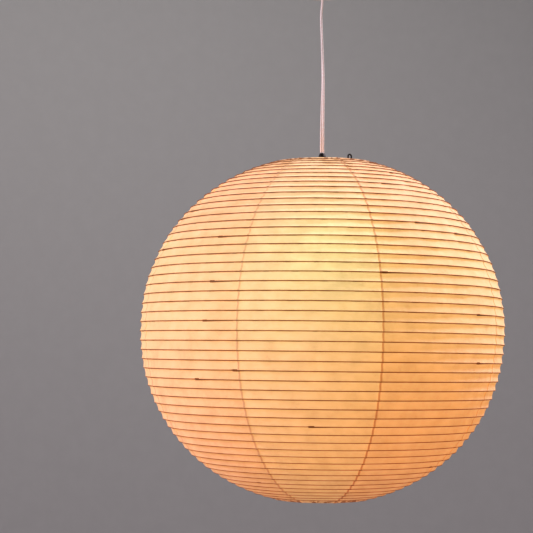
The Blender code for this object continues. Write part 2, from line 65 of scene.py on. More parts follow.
EQUATOR_Z = -0.562  # the globe's widest circle
GAP = 0.0003  # between pieces that touch
EDGE_DEG, SOFT_EDGE_DEG = 35.0, 50.0  # the least angle that is shaded as an edge
FULL_TURN = 2 * math.pi


# --- Small tools ---------------------------------------------------------------------------------------


def linear(hex_colour: str) -> Colour:
    """An sRGB hex colour as linear RGBA."""
    parts = [int(hex_colour[i : i + 2], 16) / 255 for i in (0, 2, 4)]
    red, green, blue = (p / 12.92 if p <= 0.04045 else ((p + 0.055) / 1.055) ** 2.4 for p in parts)
    return red, green, blue, 1.0


def add_node(
    tree: bpy.types.NodeTree,
    kind: str,
    values: dict[Any, Any] | None = None,
    links: dict[Any, Source] | None = None,
    **settings: Any,
) -> bpy.types.Node:
    """Add a shader node with its settings and links.

    Args:
        tree: the material's node tree.
        kind: the node's type without "ShaderNode".
        values: input name or index to its plain value.
        links: input name or index to the output that feeds it, or to a node whose first output does.
        **settings: the node's own properties.

    Returns:
        The new node.
    """
    node = tree.nodes.new(f"ShaderNode{kind}")
    for name, value in settings.items():
        setattr(node, name, value)
    for name, value in (values or {}).items():
        node.inputs[name].default_value = value
    for name, source in (links or {}).items():
        tree.links.new(source.outputs[0] if isinstance(source, bpy.types.Node) else source, node.inputs[name])
    return node


def add_ramp(
    tree: bpy.types.NodeTree, source: Source, stops: Sequence[tuple[float, Colour]], ease: str = "LINEAR"
) -> bpy.types.Node:
    """Colours by a value from 0 to 1.

    Args:
        tree: the material's node tree.
        source: what gives the value.
        stops: (position, linear RGBA) pairs in order.
        ease: how the ramp runs between its stops.

    Returns:
        The ramp.
    """
    node = add_node(tree, "ValToRGB", links={0: source})
    ramp = node.color_ramp
    ramp.interpolation = ease
    while len(ramp.elements) < len(stops):
        ramp.elements.new(1.0)
    for element, (position, colour) in zip(ramp.elements, stops):
        element.position, element.color = position, colour
    return node


# --- Finishes ------------------------------------------------------------------------------------------


@dataclass(frozen=True)
class Finish:
    """A surface with a fine grain in its colour, roughness and bump.

    The grain is noise on Object coordinates, with its size in real millimetres.
    """

    name: str
    slot: str
    colour: str
    shade: str
    roughness: float
    metallic: float = 0.0
    grain_mm: float = 2.0
    bump_mm: float = 0.02
    stretch: Point = (1.0, 1.0, 1.0)
    ior: float = 1.5
    subsurface: float = 0.0
    subsurface_scale: float = 0.003
    coat: float = 0.0
    glow: str = "000000"
    glow_strength: float = 0.0

    def build(self) -> bpy.types.Material:
        """The material, made once and then shared."""
        found = bpy.data.materials.get(self.name)
        if found:
            return found
        material = bpy.data.materials.new(self.name)
        material.use_nodes = True
        tree = material.node_tree
        shader = tree.nodes["Principled BSDF"]
        place = add_node(tree, "TexCoord").outputs["Object"]
        mapping = add_node(tree, "Mapping", {"Scale": self.stretch}, {"Vector": place})
        fineness = {"Scale": 1000 / self.grain_mm, "Detail": 4.0, "Roughness": 0.6}
        grain = add_node(tree, "TexNoise", fineness, {"Vector": mapping})
        tint = add_ramp(tree, grain, [(0.32, linear(self.shade)), (0.68, linear(self.colour))])
        tree.links.new(tint.outputs[0], shader.inputs["Base Color"])
        dullest = min(1.0, self.roughness * 1.2)
        spread = {"From Min": 0.3, "From Max": 0.7, "To Min": self.roughness * 0.82, "To Max": dullest}
        gloss = add_node(tree, "MapRange", spread, {"Value": grain})
        tree.links.new(gloss.outputs[0], shader.inputs["Roughness"])
        relief = {"Strength": 0.6, "Distance": self.bump_mm / 1000}
        bump = add_node(tree, "Bump", relief, {"Height": grain})
        tree.links.new(bump.outputs[0], shader.inputs["Normal"])
        for socket, value in (
            ("Metallic", self.metallic),
            ("Subsurface Weight", self.subsurface),
            ("Subsurface Scale", self.subsurface_scale),
            ("Coat Weight", self.coat),
            ("Emission Color", linear(self.glow)),
            ("Emission Strength", self.glow_strength),
        ):
            shader.inputs[socket].default_value = value
        if not self.metallic:
            shader.inputs["IOR"].default_value = self.ior
        return material


@dataclass(frozen=True)
class Washi:
    """Mulberry paper, mould-made, pasted over bamboo and lit from inside.

    The light through the paper is painted as emission: warmest far from the bulb, palest beside it,
    and palest of all in a painted hot spot on the front. It dims where a splint backs the paper, as a
    painted splint shadow, where two splints are spliced, and where one sheet laps over the next. Long
    fibres and clouds in the pulp show darker against the light. Each sheet's attributes say how far a
    point is from its splint (rib_gap) and from a splice, how deep it is in a lap or a hem, and how thick
    the paper is, with a painted shade added away from the front (tone).
    """

    name: str = "washi, mould-made mulberry paper"
    slot: str = "washi"
    # Painted colour of the light through the paper against height, from the bottom rim to the top rim.
    glow: tuple[tuple[float, str], ...] = (
        (0.00, "c88240"),
        (0.06, "dc9147"),
        (0.14, "ee9f4d"),
        (0.25, "f3a755"),
        (0.38, "f6b260"),
        (0.52, "f6be6e"),
        (0.66, "f4bd71"),
        (0.84, "f3b672"),
        (0.93, "f0b16e"),
        (1.00, "e4ab64"),
    )
    strength: float = 0.99
    rim: float = 0.255  # height of both rims
    # A painted hot spot on the front, and a painted belt of paler light round the globe at the bulb's height.
    hot: str = "f9d883"
    hot_place: Point = (0.010, -0.236, 0.103)
    hot_shape: Point = (0.78, 0.5, 0.80)
    hot_spread: float = 0.058
    hot_share: float = 0.85
    belt_spread: float = 0.0638
    belt_share: float = 0.20
    # Clouds about 25 mm across, and fibres, thin lines in tangles of about 9 mm and 4 mm.
    cloud_scale: float = 40.0
    cloud_light: Pair = (0.86, 1.07)
    fibre_scales: Pair = (110.0, 260.0)
    fibre_flattening: float = 2.2
    fibre_dimming: float = -0.15
    # A splint's painted shadow through the paste is 1.3 mm wide, and 2.4 mm where two splints lie side by
    # side.
    splint_half: float = 0.00066
    splice_extra: float = 0.00055
    splice_ends: Pair = (0.0045, 0.0036)
    splint_fade: Pair = (0.00030, -0.00025)
    # Low down the splints' painted shadow is drawn wider.
    shadow_widening_heights: Pair = (0.5, 0.08)
    shadow_widening_extra: float = 0.00045
    # Paste that has soaked out beside the splint leaves a soft edge.
    paste_reach: Pair = (0.0022, 0.0007)
    paste_dimming: float = 0.13
    # Both hems are daubed with paste and lie three sheets thick in places.
    daub_scale: float = 160.0
    daub_dimming: float = 0.85
    thickness_and_shade_tint: Colour = (0.98, 0.79, 0.57, 1.0)
    lap_tint: Colour = (0.60, 0.38, 0.16, 1.0)
    splint_shadow_tint: Colour = (0.26, 0.105, 0.03, 1.0)
    pulp: tuple[str, str] = ("d8c9ad", "e9dfc9")
    shadow_and_paste_stain: str = "6e4220"

    def build(self) -> bpy.types.Material:
        """The material, made once and then shared."""
        found = bpy.data.materials.get(self.name)
        if found:
            return found
        material = bpy.data.materials.new(self.name)
        material.use_nodes = True
        material.cycles.emission_sampling = "NONE"
        tree = material.node_tree
        shader = tree.nodes["Principled BSDF"]
        place = add_node(tree, "TexCoord").outputs["Object"]
        # Centred on the globe's widest circle.
        centred = add_node(tree, "Mapping", {"Location": (0, 0, -EQUATOR_Z)}, {"Vector": place})
        level = add_node(tree, "SeparateXYZ", links={0: centred}).outputs["Z"]
        rims = {"From Min": -self.rim, "From Max": self.rim}
        height = add_node(tree, "MapRange", rims, {"Value": level})
        marks = {
            name: add_node(tree, "Attribute", attribute_name=name).outputs["Fac"]
            for name in ("rib_gap", "splice", "lap", "tone", "hem")
        }

        cloudiness = {"Scale": self.cloud_scale, "Detail": 5.0, "Roughness": 0.62}
        clouds = add_node(tree, "TexNoise", cloudiness, {"Vector": centred})
        flat = add_node(tree, "Mapping", {"Scale": (1.0, 1.0, self.fibre_flattening)}, {"Vector": centred})
        long, short = (self._fibres(tree, flat, scale) for scale in self.fibre_scales)
        tangle = add_node(tree, "Math", links={0: long, 1: short}, operation="MAXIMUM")
        light = dict(zip(("From Min", "From Max", "To Min", "To Max"), (0.30, 0.70, *self.cloud_light)))
        cloudy = add_node(tree, "MapRange", light, {"Value": clouds})
        dimming = {1: self.fibre_dimming}
        pulp = add_node(tree, "Math", dimming, {0: tangle, 2: cloudy}, operation="MULTIPLY_ADD")

        shadow = self._shadow(tree, centred, height, marks)
        glow = self._glow(tree, centred, level, height)
        lit = add_node(tree, "VectorMath", links={0: glow, "Scale": pulp}, operation="SCALE")
        # Thicker paper, and the painted shade away from the front, both tint the light.
        tone = add_ramp(tree, marks["tone"], [(0.0, (1.0, 1.0, 1.0, 1.0)), (1.0, self.thickness_and_shade_tint)])
        toned = add_node(tree, "VectorMath", links={0: lit, 1: tone}, operation="MULTIPLY")
        for tint, depth in ((self.lap_tint, marks["lap"]), (self.splint_shadow_tint, shadow)):
            toned = add_node(
                tree, "Mix", {7: tint}, {0: depth, 6: toned}, data_type="RGBA", blend_type="MULTIPLY"
            ).outputs[2]
        tree.links.new(toned, shader.inputs["Emission Color"])

        # The base colour takes the painted splint shadow too, and half of each lap's paste.
        body = add_ramp(tree, clouds, [(0.3, linear(self.pulp[0])), (0.7, linear(self.pulp[1]))])
        stained = add_node(tree, "Math", {1: 0.5}, {0: marks["lap"]}, operation="MULTIPLY")
        covered = add_node(tree, "Math", links={0: shadow, 1: stained}, operation="MAXIMUM")
        dark = add_node(tree, "Mix", {7: linear(self.shadow_and_paste_stain)}, {0: covered, 6: body}, data_type="RGBA")
        tree.links.new(dark.outputs[2], shader.inputs["Base Color"])
        for socket, value in (
            ("Emission Strength", self.strength),
            ("Roughness", 0.85),
            ("Sheen Weight", 0.10),
            ("Sheen Roughness", 0.4),
            ("Sheen Tint", linear("ffe9dc")),
            ("IOR", 1.4),
        ):
            shader.inputs[socket].default_value = value
        relief = add_node(tree, "Math", {1: 0.35}, {0: tangle, 2: clouds}, operation="MULTIPLY_ADD")
        bump = add_node(tree, "Bump", {"Strength": 0.8, "Distance": 0.0006}, {"Height": relief})
        tree.links.new(bump.outputs[0], shader.inputs["Normal"])
        return material

    def _glow(self, tree: bpy.types.NodeTree, centred: Source, level: Source, height: Source) -> Source:
        """The painted light's colour at each place, before the paper dims it.

        Args:
            tree: the material's node tree.
            centred: the coordinates from the globe's middle.
            level: the height over the widest circle.
            height: the height from 0 at the bottom rim to 1 at the top.

        Returns:
            The colour.
        """
        # A painted hot spot on the front, and a painted belt round the globe at the bulb's height.
        near = add_node(tree, "VectorMath", {1: self.hot_place}, {0: centred}, operation="SUBTRACT")
        shaped = add_node(tree, "VectorMath", {1: self.hot_shape}, {0: near}, operation="MULTIPLY")
        far = add_node(tree, "VectorMath", links={0: shaped}, operation="LENGTH").outputs["Value"]
        patch = self._bell(tree, far, self.hot_spread)
        above = add_node(tree, "Math", {1: self.hot_place[2]}, {0: level}, operation="SUBTRACT")
        belt = self._bell(tree, above, self.belt_spread)
        round_it = add_node(tree, "Math", {1: self.belt_share}, {0: belt}, operation="MULTIPLY")
        share = {1: self.hot_share}
        warm = add_node(
            tree, "Math", share, {0: patch, 2: round_it}, operation="MULTIPLY_ADD", use_clamp=True
        )
        base = add_ramp(tree, height, [(at, linear(colour)) for at, colour in self.glow], "EASE")
        mixed = add_node(tree, "Mix", {7: linear(self.hot)}, {0: warm, 6: base}, data_type="RGBA")
        return mixed.outputs[2]

    def _shadow(
        self, tree: bpy.types.NodeTree, centred: Source, height: Source, marks: dict[str, Source]
    ) -> Source:
        """How dark the splints' painted shadow, their paste and the daubed hems show, from 0 to 1.

        Args:
            tree: the material's node tree.
            centred: the coordinates from the globe's middle.
            height: the height from 0 at the bottom rim to 1 at the top.
            marks: the sheet's attributes.

        Returns:
            The depth of the shadow.
        """
        gap = marks["rib_gap"]
        off = add_node(tree, "Math", links={0: marks["splice"]}, operation="ABSOLUTE")
        ends = dict(zip(("From Min", "From Max"), self.splice_ends))
        double = add_node(tree, "MapRange", ends, {"Value": off})
        widths = {1: self.splice_extra, 2: self.splint_half}
        edge = add_node(tree, "Math", widths, {0: double}, operation="MULTIPLY_ADD")
        low, lowest = self.shadow_widening_heights
        widening = {"From Min": low, "From Max": lowest, "To Min": 0.0, "To Max": self.shadow_widening_extra}
        run = add_node(tree, "MapRange", widening, {"Value": height})
        edge = add_node(tree, "Math", links={0: edge, 1: run}, operation="ADD")
        past = add_node(tree, "Math", links={0: gap, 1: edge}, operation="SUBTRACT")
        fade = dict(zip(("From Min", "From Max"), self.splint_fade))
        rib = add_node(tree, "MapRange", fade, {"Value": past})
        outer, inner = self.paste_reach
        soaked = {"From Min": outer, "From Max": inner, "To Min": 0.0, "To Max": self.paste_dimming}
        paste = add_node(tree, "MapRange", soaked, {"Value": gap})
        shadow = add_node(tree, "Math", links={0: rib, 1: paste}, operation="MAXIMUM")
        daubs = add_node(tree, "TexNoise", {"Scale": self.daub_scale, "Detail": 3.0}, {"Vector": centred})
        daubed = add_node(tree, "MapRange", {"From Min": 0.46, "From Max": 0.56}, {"Value": daubs})
        spots = add_node(tree, "Math", links={0: daubed, 1: marks["hem"]}, operation="MULTIPLY")
        depth = {1: self.daub_dimming}
        return add_node(
            tree, "Math", depth, {0: spots, 2: shadow}, operation="MULTIPLY_ADD", use_clamp=True
        ).outputs[0]

    @staticmethod
    def _bell(tree: bpy.types.NodeTree, distance: Source, spread: float) -> Source:
        """A value that is 1 at no distance and has fallen to about a third at the spread."""
        share = add_node(tree, "Math", {1: 1 / spread}, {0: distance}, operation="MULTIPLY")
        squared = add_node(tree, "Math", links={0: share, 1: share}, operation="MULTIPLY")
        opposite = add_node(tree, "Math", {1: -1.0}, {0: squared}, operation="MULTIPLY")
        return add_node(tree, "Math", {0: math.e}, {1: opposite}, operation="POWER")

    @staticmethod
    def _fibres(tree: bpy.types.NodeTree, place: Source, scale: float) -> Source:
        """Thin wandering lines, 1 on a fibre and 0 off it, with this many tangles in a metre."""
        waviness = {"Scale": scale, "Detail": 2.0, "Roughness": 0.5, "Distortion": 0.8}
        wave = add_node(tree, "TexNoise", waviness, {"Vector": place})
        off = add_node(tree, "Math", {1: 0.5}, {0: wave}, operation="SUBTRACT")
        away = add_node(tree, "Math", links={0: off}, operation="ABSOLUTE")
        return add_node(tree, "MapRange", {"From Min": 0.030, "From Max": 0.006}, {"Value": away})


# Split bamboo, shaved and left raw: warm brown with grain along the splint.
BAMBOO = Finish("bamboo, split and shaved", "bamboo", "a9773f", "7a4f26", 0.6, grain_mm=1.6, bump_mm=0.06)
# Spring wire, blacked: near black with a soft shine.
BLACK_WIRE = Finish("spring wire, black oxide", "black_wire", "1d1c1c", "0f0f10", 0.38, 0.85, grain_mm=0.8)
# Galvanised wire: dull grey spangle.
HOOP_WIRE = Finish("steel wire, galvanised", "hoop_wire", "a3a29c", "85847f", 0.42, 0.9, grain_mm=1.2)
# Phenolic resin, moulded: deep black with a slight polish.
BLACK_RESIN = Finish(
    "phenolic resin, moulded", "black_resin", "1a1919", "0c0c0d", 0.34, grain_mm=0.9, bump_mm=0.01
)
# Brass, pressed: yellow and a little dulled by handling.
BRASS = Finish("brass, pressed", "brass", "d8b25c", "b98f3e", 0.3, 1.0, grain_mm=1.5, bump_mm=0.01)
# Steatite, fired without a glaze: chalky off-white.
STEATITE = Finish("steatite, fired", "steatite", "efe8da", "ddd3c0", 0.62, grain_mm=0.7, bump_mm=0.03)
# Opal polycarbonate, blown: milky and lit from behind, too bright to show grain.
OPAL = Finish(
    "polycarbonate, opal",
    "opal",
    "fff6e4",
    "fdf0d8",
    0.4,
    grain_mm=4.0,
    bump_mm=0.005,
    glow="ffe2a8",
    glow_strength=2.6,
)
# White plastic, moulded: satin, faintly mottled.
WHITE_PLASTIC = Finish(
    "polypropylene, moulded",
    "white_plastic",
    "efeee9",
    "e2e0da",
    0.42,
    grain_mm=1.2,
    bump_mm=0.015,
    subsurface=0.15,
)
# Nickel plate on brass: bright with fine drawing marks round it.
NICKEL = Finish(
    "brass, nickel-plated", "nickel", "cfccc4", "b3afa6", 0.24, 1.0, grain_mm=0.7, stretch=(1, 1, 5)
)
# White enamel on pressed steel: glossy with a faint orange peel.
ENAMEL = Finish(
    "steel, white enamel", "white_enamel", "efeeea", "e6e4df", 0.3, grain_mm=2.2, bump_mm=0.02, coat=0.4
)
# Zinc plate on pressed steel: bluish grey, softly mottled.
ZINC = Finish("steel, zinc-plated", "zinc_steel", "aeb3b6", "8e9498", 0.36, 1.0, grain_mm=2.5)
# Clear PVC, extruded over the twin cores: pale and glossy, with a faint painted glow of lantern light.
CLEAR_PVC = Finish(
    "pvc, clear extruded",
    "clear_pvc",
    "f6eae8",
    "ead9d6",
    0.25,
    grain_mm=3.0,
    bump_mm=0.02,
    ior=1.53,
    glow="ffeae6",
    glow_strength=0.22,
)
# Tinned copper strands, twisted, inside the sleeve.
TINNED = Finish(
    "copper strands, tinned", "clear_pvc", "d8c6be", "a88f84", 0.3, 0.9, grain_mm=0.9, bump_mm=0.08
)
# Matt wall paint, rolled: a faint mottle.
PAINT = Finish("matt paint, rolled", "none", "c2c2c1", "bebebd", 0.9, grain_mm=60.0, bump_mm=0.05)


# --- Mesh tools ----------------------------------------------------------------------------------------


class Body(Enum):
    """The moving bodies that a piece can ride on."""

    CEILING = "ceiling_fitting"
    BUSH = "exit_bush"
    CORD = "hanging_cord"
    LAMP = "lamp"
    RING = "retaining_ring"
    FRONT_LEG = "front_leg"
    BACK_LEG = "back_leg"
    BOTTOM_HOOP = "bottom_hoop"
    BULB_TIP = "bulb_tip"
    BULB = "bulb"


def link_object(name: str, data: bpy.types.ID) -> bpy.types.Object:
    """A new object in the scene that holds the data."""
    obj = bpy.data.objects.new(name, data)
    bpy.context.scene.collection.objects.link(obj)
    return obj


def link_mesh(name: str, bm: bmesh.types.BMesh, finish: Finish | Washi) -> bpy.types.Object:
    """A smooth object in its finish, made from a bmesh that is then freed."""
    mesh = bpy.data.meshes.new(name)
    bm.to_mesh(mesh)
    bm.free()
    mesh.shade_smooth()
    mesh.materials.append(finish.build())
    return link_object(name, mesh)


def add_piece(
    name: str,
    bm: bmesh.types.BMesh,
    finish: Finish | Washi,
    body: Body,
    stands_for: Iterable[str] = (),
    edge_deg: float | None = None,
) -> bpy.types.Object:
    """Turn a bmesh into a piece with its finish, riding on its body.

    Args:
        name: the piece's name.
        bm: its mesh, which is freed.
        finish: its finish.
        body: the body that it moves with.
        stands_for: the CAD nodes that it replaces.
        edge_deg: the least angle that is shaded as an edge, or None for a smooth piece.

    Returns:
        The piece.
    """
    obj = link_mesh(name, bm, finish)
    if edge_deg is not None:
        obj.data.set_sharp_from_angle(angle=math.radians(edge_deg))
    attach(obj, body.value)
    if stands_for:
        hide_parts(*stands_for)
    log.info("%s: %d faces on %s", name, len(obj.data.polygons), body.value)
    return obj


def turned(
    profile: Sequence[Pair], segments: int = 64, lift: float = EQUATOR_Z, chain: bool = False
) -> bmesh.types.BMesh:
    """A shape turned about the upright axis.

    Args:
        profile: (radius, height) points, a closed ring, or a chain that starts and ends on the axis.
        segments: steps in the full turn.
        lift: height added to the whole.
        chain: whether to leave the profile open even if an end is off the axis.

    Returns:
        The bmesh, facing out.
    """
    bm = bmesh.new()
    verts = [bm.verts.new((radius, 0, height + lift)) for radius, height in profile]
    edges = [bm.edges.new(pair) for pair in zip(verts, verts[1:])]
    on_axis = 1e-9
    if not chain and max(profile[0][0], profile[-1][0]) > on_axis:
        edges.append(bm.edges.new((verts[-1], verts[0])))
    bmesh.ops.spin(
        bm,
        geom=verts + edges,
        cent=(0, 0, 0),
        axis=(0, 0, 1),
        angle=FULL_TURN,
        steps=segments,
        use_merge=True,
    )
    bmesh.ops.remove_doubles(bm, verts=bm.verts, dist=1e-6)
    bmesh.ops.recalc_face_normals(bm, faces=bm.faces)
    return bm


def rounded(profile: Sequence[Pair], radius: float, steps: int = 3, closed: bool = True) -> list[Pair]:
    """Round a profile's corners.

    Args:
        profile: its corners in order.
        radius: how far the rounding reaches along each side.
        steps: faces across each corner.
        closed: whether the profile is a ring. A chain keeps its two ends.

    Returns:
        The new profile.
    """
    points = [Vector(p) for p in profile]
    count = len(points)
    done: list[Pair] = []
    for i, corner in enumerate(points):
        if not closed and i in (0, count - 1):
            done.append((corner.x, corner.y))
            continue
        before, after = points[i - 1] - corner, points[(i + 1) % count] - corner
        start = corner + before.normalized() * min(radius, before.length * 0.45)
        end = corner + after.normalized() * min(radius, after.length * 0.45)
        done += [(point.x, point.y) for point in across_corner(start, corner, end, steps)]
    return done


def across_corner(start: Vector, corner: Vector, end: Vector, steps: int) -> list[Vector]:
    """Points on a smooth curve from the start to the end that leans towards the corner."""
    shares = [step / steps for step in range(steps + 1)]
    return [start * (1 - t) ** 2 + corner * 2 * t * (1 - t) + end * t**2 for t in shares]


def bend_wire(corners: Sequence[Point], bend: float, steps: int = 6, spacing: float = 0.004) -> list[Vector]:
    """A wire's route with rounded corners and closely spaced points.

    Args:
        corners: the route's corners.
        bend: the bend radius.
        steps: points across each bend.
        spacing: the longest straight step.

    Returns:
        The route.
    """
    points = [Vector(corner) for corner in corners]
    route = [points[0]]
    for before, corner, after in zip(points, points[1:], points[2:]):
        back, ahead = before - corner, after - corner
        reach = min(back.length, ahead.length) * 0.45
        trim = min(bend * math.tan((math.pi - back.angle(ahead)) / 2), reach)
        start, end = corner + back.normalized() * trim, corner + ahead.normalized() * trim
        route += across_corner(start, corner, end, steps)
    route.append(points[-1])
    fine = [route[0]]
    for first, second in zip(route, route[1:]):
        count = max(1, math.ceil((second - first).length / spacing))
        fine += [first.lerp(second, (i + 1) / count) for i in range(count)]
    return [point for i, point in enumerate(fine) if not i or (point - fine[i - 1]).length > 1e-6]


def smooth_route(points: Sequence[Point], count: int) -> list[Vector]:
    """Evenly spaced points on a Catmull-Rom curve.

    Args:
        points: the points it goes through.
        count: how many points to give.

    Returns:
        The route.
    """
    given = [Vector(point) for point in points]
    padded = [given[0] * 2 - given[1], *given, given[-1] * 2 - given[-2]]
    steps = 24
    fine = []
    for a, b, c, d in zip(padded, padded[1:], padded[2:], padded[3:]):
        for step in range(steps):
            t = step / steps
            cubic = (3 * b - a - 3 * c + d) * t**3
            fine.append(0.5 * (2 * b + (c - a) * t + (2 * a - 5 * b + 4 * c - d) * t**2 + cubic))
    fine.append(given[-1])
    along = np.concatenate([[0], np.cumsum([(q - p).length for p, q in zip(fine, fine[1:])])])
    wanted = np.linspace(0, along[-1], count)
    axes = (np.interp(wanted, along, [p[axis] for p in fine]) for axis in range(3))
    return [Vector(place) for place in zip(*axes)]


def heading(route: Sequence[Vector], i: int) -> Vector:
    """The way that a route runs at one of its points."""
    return (route[min(i + 1, len(route) - 1)] - route[max(i - 1, 0)]).normalized()


def sweep(
    bm: bmesh.types.BMesh,
    route: Sequence[Vector],
    section: Sequence[Pair],
    first_side: Vector,
    turns: Sequence[float] | None = None,
) -> None:
    """Extrude a section along a route, carried round its bends without twisting, with both ends closed.

    Args:
        bm: the bmesh that it is added to.
        route: the points that it follows.
        section: the section's corners as (across, up), counter-clockwise.
        first_side: roughly the direction of across at the start.
        turns: the section's added turn at each point, in radians.
    """
    side = Vector(first_side)
    first_edges: list[bmesh.types.BMEdge] = []
    edges: list[bmesh.types.BMEdge] = []
    before = None
    for i, point in enumerate(route):
        tangent = heading(route, i)
        side = (side - tangent * side.dot(tangent)).normalized()
        across = Matrix.Rotation(turns[i], 3, tangent) @ side if turns else side
        here = Matrix((across, tangent.cross(across), tangent)).transposed().to_4x4()
        here.translation = point
        if before is None:
            ring = [bm.verts.new(here @ Vector((x, y, 0))) for x, y in section]
            edges = [bm.edges.new(pair) for pair in zip(ring, ring[1:] + ring[:1])]
            first_edges = edges
        else:
            made = bmesh.ops.extrude_edge_only(bm, edges=edges)["geom"]
            ring = [item for item in made if isinstance(item, bmesh.types.BMVert)]
            made_edges = [item for item in made if isinstance(item, bmesh.types.BMEdge)]
            edges = [edge for edge in made_edges if all(vert in ring for vert in edge.verts)]
            bmesh.ops.transform(bm, matrix=here @ before.inverted(), verts=ring)
        before = here
    for end in (edges, first_edges):
        bmesh.ops.contextual_create(bm, geom=end)


def round_section(radius: float, sides: int = 12) -> list[Pair]:
    """The corners of a round section."""
    angles = np.linspace(0, FULL_TURN, sides, endpoint=False)
    return [(radius * math.cos(a), radius * math.sin(a)) for a in angles]


def arc(centre: Pair, radius: float, start_deg: float, end_deg: float, steps: int) -> list[Pair]:
    """Points on a circle in the profile plane.

    Args:
        centre: its centre.
        radius: its radius.
        start_deg: the first angle, where 0 points out and 90 up.
        end_deg: the last angle.
        steps: how many steps it takes.

    Returns:
        The points.
    """
    angles = np.radians(np.linspace(start_deg, end_deg, steps + 1))
    return [(centre[0] + radius * math.cos(a), centre[1] + radius * math.sin(a)) for a in angles]


def from_right(azimuth_deg: float) -> float:
    """The angle about +Z from +X, in radians, of an azimuth from the front towards the right."""
    return math.radians(azimuth_deg - 90)


# --- The camera and the room ---------------------------------------------------------------------------


@dataclass(frozen=True)
class Lamp:
    """A square soft light that no camera sees."""

    name: str
    place: Point
    target: Point
    size: float
    watts: float
    colour: str

    def build(self) -> None:
        """Add the light."""
        data = bpy.data.lights.new(self.name, "AREA")
        data.shape = "SQUARE"
        data.size = self.size
        data.energy = self.watts
        data.color = linear(self.colour)[:3]
        lamp = link_object(self.name, data)
        lamp.location = self.place
        aim = Vector(self.target) - Vector(self.place)
        lamp.rotation_euler = aim.to_track_quat("-Z", "Y").to_euler()
        lamp.visible_camera = False


@dataclass
class Studio:
    """The camera, the lamps and a plain pale cove with its floor well below the lantern."""

    camera_distance: float = 2.4475
    camera_drop: float = 0.040
    lens: float = 109.0
    sensor: float = 36.0
    left_deg: float = 1.97
    up_deg: float = 3.21
    roll_deg: float = 0.2
    cove_radius: float = 5.0
    cove_corner: float = 0.9
    floor_z: float = -3.4
    cove_top: float = 1.8
    room: str = "c4c4c8"
    room_strength: float = 0.07
    # A soft key from the left, a rim from the right and behind, a little from above, and a wash on the wall.
    lamps: tuple[Lamp, ...] = (
        Lamp("key", (-2.85, -0.8, 0.35), (0, 0, EQUATOR_Z), 1.5, 48.0, "ffeeff"),
        Lamp("rim", (1.75, 0.45, 1.60), (0, 0, EQUATOR_Z), 0.7, 66.0, "ffeff8"),
        Lamp("ceiling_bounce", (0.0, 0.3, 1.7), (0, 0, EQUATOR_Z), 2.4, 5.0, "fff8f4"),
        Lamp("wall_wash", (-0.7, 2.2, 1.5), (-0.6, 5.0, -0.6), 1.8, 28.0, "fffcf8"),
    )

    def place_camera(self) -> None:
        """Put the camera at the object's usual viewing angle."""
        data = bpy.data.cameras.new("camera")
        data.lens = self.lens
        data.sensor_width = self.sensor
        camera = link_object("camera", data)
        camera.location = (0, -self.camera_distance, EQUATOR_Z - self.camera_drop)
        turn = Matrix.Rotation(math.radians(self.left_deg), 3, "Z")
        tilt = Matrix.Rotation(math.radians(90 + self.up_deg), 3, "X")
        roll = Matrix.Rotation(math.radians(self.roll_deg), 3, "Z")
        camera.rotation_euler = (turn @ tilt @ roll).to_euler()
        bpy.context.scene.camera = camera

    def build_cove(self) -> None:
        """The floor and the wall round it, in one turned sheet."""
        inner = self.cove_radius - self.cove_corner
        corner = arc((inner, self.floor_z + self.cove_corner), self.cove_corner, -90, 0, 10)
        profile = [(0.0, self.floor_z), (inner, self.floor_z), *corner[1:], (self.cove_radius, self.cove_top)]
        bm = turned(profile, 96, 0.0, chain=True)
        bmesh.ops.reverse_faces(bm, faces=bm.faces)
        link_mesh("cove", bm, PAINT)

    def light(self) -> None:
        """Light the room."""
        for lamp in self.lamps:
            lamp.build()
        world = bpy.data.worlds.new("room")
        world.use_nodes = True
        background = world.node_tree.nodes["Background"]
        background.inputs["Color"].default_value = linear(self.room)
        background.inputs["Strength"].default_value = self.room_strength
        bpy.context.scene.world = world
        bpy.context.scene.view_settings.view_transform = "Standard"


# --- The cord ------------------------------------------------------------------------------------------


